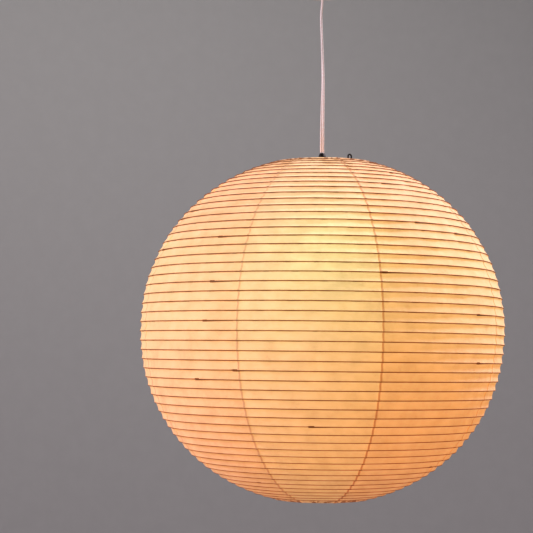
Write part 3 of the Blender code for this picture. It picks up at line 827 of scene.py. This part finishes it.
@dataclass
class PendantCord:
    """A flat twin cord of clear PVC. It turns most of a quarter between the canopy and the grip."""

    pivot: float
    width: float = 0.0062
    thickness: float = 0.0031
    diameter: float = 0.0054
    grip_top: float = 0.267
    end: float = 0.2245
    points: int = 72
    core_radius: float = 0.00062
    # It is edge on above and flat to the front at the grip, with most of the turn in the lower half.
    turn_deg: float = 78.0
    turn_starts: float = 0.30
    turn_lasts: float = 0.55

    def route(self) -> list[Vector]:
        """The cord's centreline, from inside the canopy to inside the lampholder."""
        middle = ((-0.0016, -0.085), (0.0006, -0.150), (0.0013, -0.185), (0.0004, -0.235), (0, -0.275))
        return smooth_route(
            [
                (0, 0, self.pivot + 0.012),
                (0, 0, self.pivot),
                (0, 0, self.pivot - 0.020),
                *((aside, 0, height) for aside, height in middle),
                (0, 0, EQUATOR_Z + self.grip_top),
                (0, 0, EQUATOR_Z + self.end),
            ],
            self.points,
        )

    def section(self) -> list[Pair]:
        """Two round sleeves with a shallow groove between them."""
        half = self.thickness / 2
        off = self.width / 2 - half
        right = [(off + x, y) for x, y in arc((0, 0), half, -145, 145, 12)]
        return right + [(-x, -y) for x, y in right]

    def build(self) -> None:
        route = self.route()
        share = np.linspace(0, 1, len(route))
        eased = np.clip((share - self.turn_starts) / self.turn_lasts, 0, 1)
        turns = list(np.radians(self.turn_deg) * (1 - eased * eased * (3 - 2 * eased)))
        bm = bmesh.new()
        sweep(bm, route, self.section(), Vector((1, 0, 0)), turns)
        bmesh.ops.recalc_face_normals(bm, faces=bm.faces)
        sleeve = add_piece("cord_sleeve", bm, CLEAR_PVC, Body.CORD, ["pendant_cord"])
        bm = bmesh.new()
        off = (self.width - self.thickness) / 2
        for sign in (-1, 1):
            moved = []
            for i, (point, turn) in enumerate(zip(route, turns)):
                across = Matrix.Rotation(turn, 3, heading(route, i)) @ Vector((1, 0, 0))
                moved.append(point + across * sign * off)
            sweep(bm, moved[1:-1], round_section(self.core_radius, 8), Vector((1, 0, 0)))
        bmesh.ops.recalc_face_normals(bm, faces=bm.faces)
        cores = add_piece("cord_cores", bm, TINNED, Body.CORD)


# --- The globe -----------------------------------------------------------------------------------------


@dataclass
class GlobeOutline:
    """The globe's profile, a superellipse, by the distance along it from the paper's top edge."""

    radius: float = 0.275
    upper: float = 0.264
    lower: float = 0.2605
    roundness: float = 2.06
    top_opening: float = 0.077
    bottom_opening: float = 0.070
    samples: int = 4000
    along: np.ndarray = field(init=False)
    radii: np.ndarray = field(init=False)
    heights: np.ndarray = field(init=False)

    def __post_init__(self) -> None:
        """Trace the profile between the two openings."""
        top = self._height_at(self.top_opening, self.upper)
        bottom = -self._height_at(self.bottom_opening, self.lower)
        start = math.atan2(top / self.upper, self.top_opening / self.radius)
        end = math.atan2(bottom / self.lower, self.bottom_opening / self.radius)
        angle = np.linspace(start, end, self.samples)
        out, up = np.cos(angle), np.abs(np.sin(angle))
        size = (out**self.roundness + up**self.roundness) ** (-1 / self.roundness)
        self.radii = self.radius * out * size
        self.heights = np.where(angle > 0, self.upper, self.lower) * np.sin(angle) * size
        steps = np.hypot(np.diff(self.radii), np.diff(self.heights))
        self.along = np.concatenate([[0], np.cumsum(steps)])

    def _height_at(self, radius: float, half_height: float) -> float:
        """The profile's height above the widest circle at a radius."""
        return half_height * (1 - (radius / self.radius) ** self.roundness) ** (1 / self.roundness)

    @property
    def length(self) -> float:
        """The profile's length from edge to edge."""
        return float(self.along[-1])

    @property
    def top_z(self) -> float:
        """The top edge's height."""
        return float(self.heights[0])

    @property
    def bottom_z(self) -> float:
        """The bottom edge's height."""
        return float(self.heights[-1])

    def place(
        self, along: np.ndarray | float, inset: np.ndarray | float = 0.0
    ) -> tuple[np.ndarray, np.ndarray]:
        """Radius and height at distances along the profile.

        Args:
            along: the distances.
            inset: how far each point is moved in from the paper's face.

        Returns:
            The radii and the heights.
        """
        step = 0.0005
        ahead, behind = np.minimum(along + step, self.length), np.maximum(along - step, 0)
        run = np.interp(ahead, self.along, self.radii) - np.interp(behind, self.along, self.radii)
        drop = np.interp(ahead, self.along, self.heights) - np.interp(behind, self.along, self.heights)
        size = np.hypot(run, drop)
        radius = np.interp(along, self.along, self.radii) + inset * drop / size
        height = np.interp(along, self.along, self.heights) - inset * run / size
        return radius, height


@dataclass
class Spiral:
    """The spiral that the splints follow, down as it goes round to the right in front."""

    outline: GlobeOutline
    turns: int = 50
    end_margin: float = 0.006
    start_deg: float = -70.0
    splice_half: float = 0.0040  # half the length over which two splints lie side by side
    seed: int = 120
    first_splice: float = 0.35
    splint_lengths: Pair = (1.0, 1.8)
    splint_turns: Pair = (0.75, 2.6)  # the fewest and most turns that one splint goes round
    splices: list[float] = field(default_factory=list)  # in turns down the spiral

    def __post_init__(self) -> None:
        """Cut the spiral into splints of random length."""
        draw = np.random.default_rng(self.seed)
        turn = self.first_splice
        fewest, most = self.splint_turns
        while turn < self.turns - 0.5:
            self.splices.append(turn)
            length = draw.uniform(*self.splint_lengths)
            turn += max(fewest, min(most, length / (FULL_TURN * self.radius(turn))))

    def along(self, turn: float | np.ndarray) -> Any:
        """The distance along the profile after a number of turns."""
        return self.end_margin + (self.outline.length - 2 * self.end_margin) * turn / self.turns

    def radius(self, turn: float) -> float:
        """The paper's radius after a number of turns."""
        return float(self.outline.place(self.along(turn))[0])

    def angle(self, turn: float) -> float:
        """The angle about +Z from +X after a number of turns, in radians."""
        return from_right(self.start_deg + 360 * turn)


@dataclass
class PaperShade:
    """Eight sheets of washi pasted over the spiral, each lapped over the next and turned in at both hoops.

    A sheet's mesh has rows across it and columns down it. Each band between two splints has the same rows.
    The first few columns lie in the lap, whose width is the same at every height, and the first and last few
    rows are the margins that are wrapped round the hoops.
    """

    outline: GlobeOutline
    spiral: Spiral
    top_hoop: Pair
    bottom_hoop: Pair
    seams_deg: tuple[float, ...] = (-70.0, -24.6, 18.2, 67.2, 111.8, 156.3, 200.9, 245.4)
    # How thick each sheet is beside the thinnest, from 0 to 1.
    tones: tuple[float, ...] = (0.58, 0.0, 0.52, 0.45, 0.1, 0.35, 0.0, 0.4)
    # How plainly the lap at each sheet's left edge shows.
    laps: tuple[float, ...] = (0.7, 0.78, 1.0, 0.75, 0.8, 0.6, 0.9, 0.7)
    palest_deg: float = -6.0  # the azimuth at the front, where the painted shade is least
    pale_spread_deg: float = 28.0
    pale_depth: float = 0.45
    lap: float = 0.0036
    lap_lift: float = 0.0004  # how much further out the upper sheet lies
    lap_columns: int = 3
    hem: float = 0.009
    thickness: float = 0.00035
    sag: float = 0.0024
    crinkle: float = 0.00035
    full_pitch: float = 0.011  # a narrower band sags less
    columns: int = 48
    band_rows: tuple[float, ...] = (0.0, 0.06, 0.17, 0.33, 0.52, 0.71, 0.86, 0.95)  # closer beside a splint
    margin_rows: int = 7
    hoop_wire: float = 0.0015
    turn_in: float = 0.0085
    bare: float = 0.02  # a distance that is far from any splint

    @property
    def bands(self) -> int:
        """The number of bands between splints, with the two at the hoops."""
        return self.spiral.turns + 1

    @property
    def face_rows(self) -> int:
        """The rows between the two margins."""
        return self.bands * len(self.band_rows) + 1

    def build_sheet(self, number: int, start: float, end: float) -> bpy.types.Object:
        """Make one sheet.

        Args:
            number: its number, from 1.
            start: its left edge's azimuth in degrees.
            end: its right edge's azimuth.

        Returns:
            The sheet.
        """
        total = self.face_rows + 2 * self.margin_rows
        radius, height = self.outline.place(np.linspace(0, self.outline.length, total))
        bm = bmesh.new()
        angle, spread = from_right(start), math.radians(end - start)
        out = Vector((math.cos(angle), math.sin(angle), 0.0))
        chain = [bm.verts.new((r * out.x, r * out.y, h)) for r, h in zip(radius, height)]
        edges = [bm.edges.new(pair) for pair in zip(chain, chain[1:])]
        bmesh.ops.spin(
            bm, geom=chain + edges, cent=(0, 0, 0), axis=(0, 0, 1), angle=spread, steps=self.columns
        )
        bmesh.ops.recalc_face_normals(bm, faces=bm.faces)
        bm.verts.index_update()
        # The spun grid's own height and angle say which row and column each point is in.
        round_to = [(math.atan2(v.co.y, v.co.x) - angle + 1e-4) % FULL_TURN for v in bm.verts]
        column = np.array([round(turn / spread * self.columns) for turn in round_to])
        row = np.array([int(np.argmin(np.abs(height - v.co.z))) for v in bm.verts])
        places, marks = self._shaped(row, column, start, end)
        marks["lap"] *= self.laps[number - 1]
        marks["tone"] += self.tones[number - 1]
        layers = {name: bm.verts.layers.float.new(name) for name in marks}
        for i, vert in enumerate(bm.verts):
            vert.co = places[i]
            for name, values in marks.items():
                vert[layers[name]] = values[i]
        bm.normal_update()
        if sum(face.normal.xy.dot(face.calc_center_median().xy) for face in bm.faces) < 0:
            bmesh.ops.reverse_faces(bm, faces=bm.faces)
        sheet = add_piece(f"washi_sheet_{number}", bm, Washi(), Body.LAMP, [f"paper_panel_{number}"])
        solid = sheet.modifiers.new("Paper", "SOLIDIFY")
        solid.thickness = self.thickness
        solid.offset = -1
        return sheet

    def _shaped(
        self, row: np.ndarray, column: np.ndarray, start: float, end: float
    ) -> tuple[np.ndarray, dict[str, np.ndarray]]:
        """Every point's place and marks on a sheet that sags in between its splints.

        Args:
            row: each point's row.
            column: each point's column.
            start: the left edge's azimuth in degrees.
            end: the right edge's azimuth.

        Returns:
            The places, and the marks by attribute name.
        """
        spiral, outline, last = self.spiral, self.outline, self.bands - 1
        face_row = np.clip(row - self.margin_rows, 0, self.face_rows - 1)
        band = np.minimum(face_row // len(self.band_rows), last)
        share = np.append(np.tile(self.band_rows, self.bands), 1.0)[face_row]
        across = np.clip((column - self.lap_columns) / (self.columns - 2 * self.lap_columns), 0.0, 1.0)
        azimuth = start + (end - start) * across
        fraction = (azimuth - spiral.start_deg) / 360
        upper = np.where(band == 0, 0.0, spiral.along(band - 1 + fraction))
        lower = np.where(band == last, outline.length, spiral.along(band + fraction))
        along = upper + (lower - upper) * share
        # Each sheet's left edge lies on top of its neighbour's right edge.
        in_lap = column < self.lap_columns
        shift = np.where(in_lap, -self.lap * (self.lap_columns - column) / self.lap_columns, 0.0)
        lift = np.where(in_lap, self.lap_lift, 0.0)

        # Deepest a third of the way down from the upper splint, as the paste pulls it in there.
        leaning = share**0.6
        span = 4 * leaning * (1 - leaning)
        # The slack varies over about 9 degrees and 30 mm, and the crinkles over about 2 degrees and 8 mm.
        slack = np.array([noise.noise(Vector((a / 9, s * 31, 3.7))) for a, s in zip(azimuth, along)])
        fine = [Vector((a / 1.9 + s * 70, s * 130, 9.1)) for a, s in zip(azimuth, along)]
        crinkle = np.array([noise.noise(place) for place in fine])
        narrow = np.minimum(1.0, (lower - upper) / self.full_pitch)
        sag = self.sag * span * (1 + 0.5 * slack) * narrow + self.crinkle * crinkle * span
        radius, height = outline.place(along, sag - lift)
        angle = np.radians(azimuth - 90) + shift / np.maximum(radius, 0.02)

        above = np.where(band == 0, 1.0, along - upper)
        gap = np.minimum(above, np.where(band == last, 1.0, lower - along))
        turn = np.where(share < 0.5, band - 1, band) + fraction
        centres = np.array(spiral.splices)
        nearest = np.argmin(np.abs(turn[:, None] - centres[None, :]), axis=1)
        off = np.clip((turn - centres[nearest]) * FULL_TURN * radius, -self.bare, self.bare)
        # Every other splice counts backwards, so that the value never passes 0 between two of them.
        splice = off * np.where(nearest % 2, -1, 1)
        # The paste runs down the lap, so that it shows more below.
        doubled = np.where(in_lap, 0.55 + 0.45 * along / outline.length, 0.0)
        # Painted shade that grows away from the front, so that the front of the globe shows palest.
        turned_away = (azimuth - self.palest_deg + 180) % 360 - 180
        tone = self.pale_depth * (1 - np.exp(-((turned_away / self.pale_spread_deg) ** 2)))
        hem = np.clip(1.3 - np.minimum(along, outline.length - along) / self.hem, 0.0, 1.0)
        for i in np.flatnonzero(row - self.margin_rows != face_row):
            radius[i], height[i] = self._turned_in(int(row[i]), float(lift[i]))
            gap[i], splice[i], doubled[i], hem[i] = self.bare, self.bare, max(doubled[i], 0.35), 1.0
        places = np.column_stack([radius * np.cos(angle), radius * np.sin(angle), height + EQUATOR_Z])
        return places, {"rib_gap": gap, "splice": splice, "lap": doubled, "hem": hem, "tone": tone}

    def _turned_in(self, row: int, lift: float) -> Pair:
        """A point of the margin that is wrapped round a hoop and pasted down inside.

        Args:
            row: the point's row.
            lift: how far out the sheet lies.

        Returns:
            Its radius and height.
        """
        top = row < self.margin_rows
        step = self.margin_rows - row if top else row - self.margin_rows - self.face_rows + 1
        radius, height = self.top_hoop if top else self.bottom_hoop
        reach = self.hoop_wire + GAP + lift
        sign = 1 if top else -1
        angles = (75, 120, 170, 215, 255)
        if step <= len(angles):
            a = math.radians(angles[step - 1])
            return radius + reach * math.cos(a), height + sign * reach * math.sin(a)
        return radius + (step - len(angles)) * 0.0014, height - sign * (reach + 0.0001)

    def build(self) -> None:
        """Make all the sheets, each with its own mesh."""
        following = [*self.seams_deg[1:], self.seams_deg[0] + 360]
        for number, (start, end) in enumerate(zip(self.seams_deg, following), 1):
            sheet = self.build_sheet(number, start, end)
            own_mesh(sheet)


@dataclass
class RibSplints:
    """The bamboo splints, laid end over end along the spiral."""

    outline: GlobeOutline
    spiral: Spiral
    anchor: float
    across: float = 0.0016  # along the profile
    thick: float = 0.0009
    inset: float = 0.00095  # from the paper's outer face to the splint's middle
    steps: int = 40  # in a turn
    aside: float = 0.52  # how far a splint lies aside in its splice, as a share of its width
    aside_run: float = 0.016  # the length over which it bends aside
    # A splint's corners as shares of its half thickness and half width.
    corners: tuple[Pair, ...] = (
        (1, 0.7),
        (0.45, 1),
        (-0.45, 1),
        (-1, 0.7),
        (-1, -0.7),
        (-0.45, -1),
        (0.45, -1),
        (1, -0.7),
    )

    def build(self) -> None:
        """Make the splints as one piece, with its own mesh."""
        bm = bmesh.new()
        splices, half = self.spiral.splices, self.spiral.splice_half
        cuts = [0.0, *splices, float(self.spiral.turns)]
        halves = [0.0, *(half for _ in splices), 0.0]
        for first, last, before, after in zip(cuts, cuts[1:], halves, halves[1:]):
            self._splint(bm, first, last, before, after)
        bmesh.ops.recalc_face_normals(bm, faces=bm.faces)
        rib = add_piece("rib_splints", bm, BAMBOO, Body.LAMP, ["bamboo_rib"])
        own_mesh(rib)

    def _splint(self, bm: bmesh.types.BMesh, first: float, last: float, before: float, after: float) -> None:
        """One splint, which passes above the next one and below the last one at its splices.

        Args:
            bm: the bmesh that it is added to.
            first: turns down the spiral at the middle of its first splice.
            last: the same at its last splice.
            before: half the first splice's length.
            after: half the last splice's length.
        """
        spiral = self.spiral
        start = first - before / (FULL_TURN * spiral.radius(first))
        stop = last + after / (FULL_TURN * spiral.radius(last))
        turns = np.linspace(start, stop, max(6, math.ceil((stop - start) * self.steps)))
        near_ends = [start + (stop - start) * share for share in (0.004, 0.012, 0.988, 0.996)]
        turns = np.unique(np.clip(np.concatenate([turns, near_ends]), 0, spiral.turns))
        route = []
        for turn in turns:
            around = FULL_TURN * spiral.radius(turn)
            low = self._step_aside((turn - first) * around, before)
            high = self._step_aside((last - turn) * around, after)
            along = spiral.along(turn) + (low - high) * self.across * self.aside
            radius, height = (float(measure) for measure in self.outline.place(along, self.inset))
            angle = spiral.angle(turn)
            route.append(Vector((radius * math.cos(angle), radius * math.sin(angle), height + EQUATOR_Z)))
        angle = spiral.angle(float(turns[0]))
        self._ribbon(bm, route, Vector((math.cos(angle), math.sin(angle), 0.0)))

    def _ribbon(self, bm: bmesh.types.BMesh, route: list[Vector], outward: Vector) -> None:
        """Sweep a splint whose face stays turned to the outside of the globe."""
        section = [(self.thick / 2 * x, self.across / 2 * y) for x, y in self.corners]
        turns = []
        side = outward.copy()
        for i, point in enumerate(route):
            tangent = heading(route, i)
            side = (side - tangent * side.dot(tangent)).normalized()
            wanted = point - Vector((0, 0, EQUATOR_Z))
            wanted = (wanted - tangent * wanted.dot(tangent)).normalized()
            turns.append(math.atan2(side.cross(wanted).dot(tangent), side.dot(wanted)))
        sweep(bm, route, section, outward, turns)

    def _step_aside(self, distance: float, half: float) -> float:
        """How far aside a splint lies, from 1 in its splice to 0 well past it."""
        return min(1.0, max(0.0, 1 - (distance - half) / self.aside_run)) if half else 0.0


# --- The wire work -------------------------------------------------------------------------------------


@dataclass
class WireWork:
    """The two hoops and the sprung stretcher between them."""

    outline: GlobeOutline
    hoop_wire: float = 0.0015
    hoop_drop: float = 0.0011
    top_radius: float = 0.0728
    bottom_radius: float = 0.0660
    overhang: float = 0.003  # of an arm or a foot past its hoop
    arm_wire: float = 0.00125
    leg_wire: float = 0.0012
    ring_radius: float = 0.0236
    ring_z: float = 0.209
    arm_knee: float = 0.058
    leg_radius: float = 0.060
    leg_knee: float = 0.200
    loop_half_width: float = 0.00305
    loop_top: float = 0.263
    link_radius: float = 0.0675
    azimuth_deg: float = 37.5

    @property
    def top_hoop_z(self) -> float:
        """The top hoop's height."""
        return self.outline.top_z - self.hoop_drop

    @property
    def bottom_hoop_z(self) -> float:
        """The bottom hoop's height."""
        return self.outline.bottom_z + self.hoop_drop

    @property
    def shelf(self) -> float:
        """Height of the arms' wire under the top hoop."""
        return self.top_hoop_z - self.hoop_wire - GAP - self.arm_wire

    def build(self) -> None:
        """Make the hoops, the clamp ring, the arms and the legs."""
        top, bottom = (self.top_radius, self.top_hoop_z), (self.bottom_radius, self.bottom_hoop_z)
        clamp = (self.ring_radius, self.ring_z)
        for name, middle, wire, segments, finish, body, node in (
            ("top_hoop_wire", top, self.hoop_wire, 96, HOOP_WIRE, Body.LAMP, "top_hoop"),
            ("bottom_hoop_wire", bottom, self.hoop_wire, 96, HOOP_WIRE, Body.BOTTOM_HOOP, "bottom_hoop"),
            ("clamp_ring_wire", clamp, self.arm_wire, 64, BLACK_WIRE, Body.LAMP, "stretcher_clamp_ring"),
        ):
            add_piece(name, turned(arc(middle, wire, 0, 330, 11), segments), finish, body, [node])
        for side, turn, leg_body in (("front", 0.0, Body.FRONT_LEG), ("back", math.pi, Body.BACK_LEG)):
            spin = Matrix.Rotation(from_right(self.azimuth_deg) + turn, 4, "Z")
            place = Matrix.Translation((0, 0, EQUATOR_Z)) @ spin
            for part, route, wire, body in (
                ("arm", self._arm_route(), self.arm_wire, Body.LAMP),
                ("leg", self._leg_route(), self.leg_wire, leg_body),
            ):
                bm = self._wire([place @ point for point in route], wire, spin.to_3x3() @ Vector((0, 1, 0)))
                add_piece(f"{side}_{part}_wire", bm, BLACK_WIRE, body, [f"{side}_stretcher_{part}"])

    @staticmethod
    def _wire(route: list[Vector], radius: float, side: Vector) -> bmesh.types.BMesh:
        """One wire along a route, with its ends dressed round."""
        bm = bmesh.new()
        sweep(bm, route, round_section(radius), side)
        bmesh.ops.recalc_face_normals(bm, faces=bm.faces)
        caps = [edge for face in bm.faces if len(face.verts) > 4 for edge in face.edges]
        bmesh.ops.bevel(
            bm,
            geom=caps,
            offset=radius * 0.45,
            affect="EDGES",
            segments=3,
            profile=0.5,
            material=-1,
            clamp_overlap=True,
        )
        return bm

    def _arm_route(self) -> list[Vector]:
        """From the clamp ring up and out under the top hoop."""
        start = self.ring_radius + self.arm_wire + GAP + 0.0002
        corners = [(start, 0, self.ring_z), (start + 0.006, 0, self.ring_z + 0.002)]
        corners += [(self.arm_knee, 0, self.shelf), (self.top_radius + self.overhang, 0, self.shelf)]
        return bend_wire(corners, 0.012)

    def _leg_route(self) -> list[Vector]:
        """From over the bottom hoop up to the end loop that hangs on the arm."""
        foot = self.bottom_hoop_z + self.hoop_wire + GAP + self.leg_wire
        half, link = self.loop_half_width, self.link_radius
        centre = self.loop_top - self.leg_wire - half
        angles = np.linspace(0, math.pi, 13)
        loop = [Vector((link, half * math.cos(a), centre + half * math.sin(a))) for a in angles]
        corners = [
            (self.bottom_radius + self.overhang, 0, foot),
            (self.leg_radius, 0, foot),
            (self.leg_radius, 0, self.leg_knee),
            (link - 0.001, 0, self.shelf - 0.016),
            (link, half, self.shelf - 0.006),
            tuple(loop[0]),
        ]
        return bend_wire(corners, 0.004) + loop[1:] + [Vector((link, -half, self.shelf - 0.008))]


# --- The lampholder and the bulb -----------------------------------------------------------------------


@dataclass
class Lampholder:
    """A two-part resin lampholder with a cone grip for the cord and a ring that clamps the stretcher.

    Its outlines are (radius, height) points.
    """

    grip: tuple[Pair, ...] = (
        (0.0031, 0.2703),
        (0.0037, 0.2703),
        (0.0057, 0.2646),
        (0.0071, 0.2588),
        (0.0090, 0.2520),
        (0.0101, 0.248),
        (0.0031, 0.248),
    )
    shoulder: tuple[Pair, ...] = (
        (0.0035, 0.2477),
        (0.0105, 0.2477),
        (0.0140, 0.2448),
        (0.0172, 0.2400),
        (0.0195, 0.2345),
        (0.0207, 0.2290),
    )
    lining: tuple[Pair, ...] = ((0.0180, 0.2320), (0.0150, 0.2390), (0.0098, 0.2457), (0.0035, 0.2457))
    split: float = 0.222
    bottom: float = 0.186
    radius: float = 0.021
    wall: float = 0.002
    bore: float = 0.0175
    flange: float = 0.0255
    flange_z: float = 0.2106
    flange_height: float = 0.003
    thread_pitch: float = 0.0036
    thread_depth: float = 0.0005
    ring_top: float = 0.2073
    ring_bottom: float = 0.196
    ring_inside: float = 0.02135
    ring_outside: float = 0.026
    grooves: int = 24
    groove_depth: float = 0.0007

    def build(self) -> None:
        """Make the grip, the cap, the body and the ring."""
        grip = turned(rounded(self.grip, 0.0006))
        add_piece("grip_cone", grip, BLACK_RESIN, Body.LAMP, ["cord_grip"], EDGE_DEG)
        rim = self.split + GAP
        skirt = [(self.radius, rim + 0.002), (self.radius, rim), (self.radius - self.wall, rim)]
        cap = turned(rounded([*self.shoulder, *skirt, *self.lining], 0.0007))
        add_piece("holder_cap_shell", cap, BLACK_RESIN, Body.LAMP, ["holder_cap"], EDGE_DEG)
        top = self.flange_z + self.flange_height
        outline = [(self.radius, self.split), (self.radius, top), (self.flange, top)]
        outline += [(self.flange, self.flange_z), (self.radius, self.flange_z)]
        # Shallow turns of thread for the ring.
        thread, pitch, root = self.flange_z - 0.0012, self.thread_pitch, self.radius - self.thread_depth
        while thread - pitch > self.bottom + 0.004:
            outline += [(self.radius, thread), (root, thread - pitch / 2), (self.radius, thread - pitch)]
            thread -= pitch
        outline += [(self.radius, self.bottom + 0.001), (self.radius - 0.001, self.bottom)]
        outline += [(self.bore, self.bottom), (self.bore, self.split)]
        body = turned(rounded(outline, 0.0004, 2))
        add_piece("holder_skirt", body, BLACK_RESIN, Body.LAMP, ["holder_body"], EDGE_DEG)
        add_piece("clamp_nut", self._ring(), BLACK_RESIN, Body.RING, ["retaining_ring"], EDGE_DEG)

    def _ring(self) -> bmesh.types.BMesh:
        """The retaining ring, with grooves round it for the fingers."""
        inside, outside, bottom = self.ring_inside, self.ring_outside, self.ring_bottom
        profile = [(inside, self.ring_top), (outside, self.ring_top), (outside, bottom + 0.002)]
        profile += [(outside - 0.0015, bottom), (inside, bottom)]
        bm = turned(rounded(profile, 0.0006), 96)
        for vert in bm.verts:
            reach = math.hypot(vert.co.x, vert.co.y)
            if reach > outside - 0.0004:
                wave = 0.5 + 0.5 * math.cos(self.grooves * math.atan2(vert.co.y, vert.co.x))
                scale = (reach - self.groove_depth * wave**3) / reach
                vert.co.x *= scale
                vert.co.y *= scale
        return bm


@dataclass
class Bulb:
    """An opal globe bulb on a nickel screw cap."""

    radius: float = 0.030
    centre: float = 0.135
    wall: float = 0.0012
    neck: Pair = (0.0238, 0.1657)
    neck_inside: float = 0.0226
    cap_top: float = 0.2095
    cap_bottom: float = 0.1900
    cap_radius: float = 0.0132
    thread_pitch: float = 0.00363
    thread_depth: float = 0.0007
    collar: tuple[Pair, ...] = (
        (0.0138, 0.1897),
        (0.0146, 0.1880),
        (0.0166, 0.1822),
        (0.0200, 0.1757),
        (0.0228, 0.1695),
        (0.0238, 0.1660),
    )
    tip: tuple[Pair, ...] = ((0, 0.2146), (0.0030, 0.2146), (0.0045, 0.2123), (0, 0.2123))

    def build(self) -> None:
        """Make the globe, the collar, the cap and the contact."""
        middle, base = (0, self.centre), self.centre - self.radius
        outside = [self.neck, *arc(middle, self.radius, 34, -88, 26), (0, base)]
        inside = [(0, base + self.wall), *arc(middle, self.radius - self.wall, -88, 34, 22)]
        globe = turned([*outside, *inside, (self.neck_inside, self.neck[1])], 72)
        add_piece("opal_globe", globe, OPAL, Body.BULB, ["bulb_globe"])
        ends = (0, self.collar[0][1]), (0, self.collar[-1][1])
        collar = turned(rounded([ends[0], *self.collar, ends[1]], 0.0005, closed=False))
        add_piece("bulb_skirt", collar, WHITE_PLASTIC, Body.BULB, ["bulb_collar"], EDGE_DEG)
        top, bottom, radius = self.cap_top, self.cap_bottom, self.cap_radius
        outline = [(0.0030, top), (0.0105, top), (0.0118, top - 0.0012)]
        level = top - 0.0028
        while level - self.thread_pitch > bottom + 0.001:
            outline += [(radius, level), (radius - self.thread_depth, level - self.thread_pitch / 2)]
            level -= self.thread_pitch
        outline += [(radius, level), (radius, bottom), (radius - 0.0006, bottom)]
        outline += [(radius - 0.0013, top - 0.0036), (0.0030, top - 0.0008)]
        cap = turned(rounded(outline, 0.0009, 4))
        add_piece("screw_cap", cap, NICKEL, Body.BULB, ["bulb_cap"], EDGE_DEG)
        tip = turned(rounded(self.tip, 0.0010, 4, closed=False), 32)
        add_piece("contact_button", tip, BRASS, Body.BULB_TIP, ["bulb_tip_contact"])


# --- The ceiling fitting -------------------------------------------------------------------------------


@dataclass
class CeilingFitting:
    """The enamelled canopy cup, its cap nuts, and the ball joint where the cord comes out."""

    radius: float = 0.048
    bottom: float = -0.047
    wall: float = 0.001
    exit_hole: float = 0.008
    bush_radius: float = 0.0095
    stop_radius: float = 0.007
    cord_bore: float = 0.0031
    stud_x: float = 0.030
    # A cap nut's outline as (radius, depth under the canopy).
    nut: tuple[Pair, ...] = (
        (0, 0.0054),
        (0.00235, 0.0054),
        (0.00235, 0),
        (0.0050, 0),
        (0.0050, 0.0040),
        (0.0044, 0.0058),
        (0.0030, 0.0072),
        (0, 0.0078),
    )

    @property
    def pivot(self) -> float:
        """Height of the cord stop's middle."""
        seat = self.bush_radius + GAP
        return self.bottom + self.wall + math.sqrt(seat**2 - self.exit_hole**2)

    def build(self) -> None:
        """Make the cup, the nuts, the bush and the cord stop."""
        bottom, floor, outside = self.bottom, self.bottom + self.wall, self.radius
        inside = outside - self.wall
        cup = [(outside + 0.0002, -GAP), (outside, -0.0030), (outside - 0.0003, bottom + 0.0075)]
        cup += [(outside - 0.0014, bottom + 0.0030), (outside - 0.0042, bottom + 0.0006)]
        cup += [(outside - 0.0085, bottom), (self.exit_hole, bottom), (self.exit_hole, floor)]
        cup += [(inside - 0.0072, floor), (inside - 0.0036, floor + 0.0006)]
        cup += [(inside - 0.0012, floor + 0.0030), (inside - 0.0001, floor + 0.0075), (inside, -GAP)]
        shell = turned(rounded(cup, 0.0012, 4), 96, 0.0)
        add_piece("canopy_shell", shell, ENAMEL, Body.CEILING, ["canopy_cup"], SOFT_EDGE_DEG)
        nut = [(radius, bottom - GAP - depth) for radius, depth in self.nut]
        for side, x in (("left", -self.stud_x), ("right", self.stud_x)):
            bm = turned(rounded(nut, 0.0006, closed=False), 48, 0.0)
            bmesh.ops.translate(bm, vec=(x, 0, 0), verts=bm.verts)
            add_piece(f"{side}_dome_nut", bm, ENAMEL, Body.CEILING, [f"{side}_cap_nut"], EDGE_DEG)
        middle = (0, self.pivot)
        half_bore = math.degrees(math.asin(self.cord_bore / self.stop_radius))
        ball = turned(arc(middle, self.stop_radius, 90 - half_bore, half_bore - 90, 28), 48, 0.0)
        add_piece("stop_ball", ball, WHITE_PLASTIC, Body.CORD, ["cord_stop"], SOFT_EDGE_DEG)
        seat = arc(middle, self.stop_radius + GAP, -36, -4, 12)
        zone = turned(arc(middle, self.bush_radius, -4, -36, 12) + seat, 64, 0.0)
        add_piece("bush_zone", zone, WHITE_PLASTIC, Body.BUSH, ["exit_bush"], SOFT_EDGE_DEG)


def dress_frame() -> None:
    """Give the CAD nodes that still show their finishes."""
    for finish, names in (
        (ZINC, ("mounting_strap", "left_canopy_stud", "right_canopy_stud")),
        (WHITE_PLASTIC, ("terminal_block",)),
        (BRASS, ("terminal_live_screw", "terminal_neutral_screw")),
        (BRASS, ("holder_live_screw", "holder_neutral_screw")),
        (BRASS, ("holder_thread_shell", "holder_centre_contact")),
        (STEATITE, ("holder_insulator", "led_board")),
        (BLACK_RESIN, ("bulb_insulator",)),
    ):
        for name in names:
            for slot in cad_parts[name].material_slots:
                slot.material = finish.build()


def main() -> None:
    """Build the lantern from its camera and cord to its smallest pieces."""
    logging.basicConfig(level=logging.INFO, format="%(name)s: %(message)s")
    studio = Studio()
    studio.place_camera()
    ceiling = CeilingFitting()
    PendantCord(ceiling.pivot).build()
    studio.build_cove()
    studio.light()

    outline = GlobeOutline()
    wires = WireWork(outline)
    spiral = Spiral(outline)
    RibSplints(outline, spiral, wires.top_hoop_z).build()
    top_hoop, bottom_hoop = (wires.top_radius, wires.top_hoop_z), (wires.bottom_radius, wires.bottom_hoop_z)
    PaperShade(outline, spiral, top_hoop, bottom_hoop).build()
    wires.build()
    Lampholder().build()
    Bulb().build()
    ceiling.build()
    dress_frame()


if __name__ == "__main__":
    main()
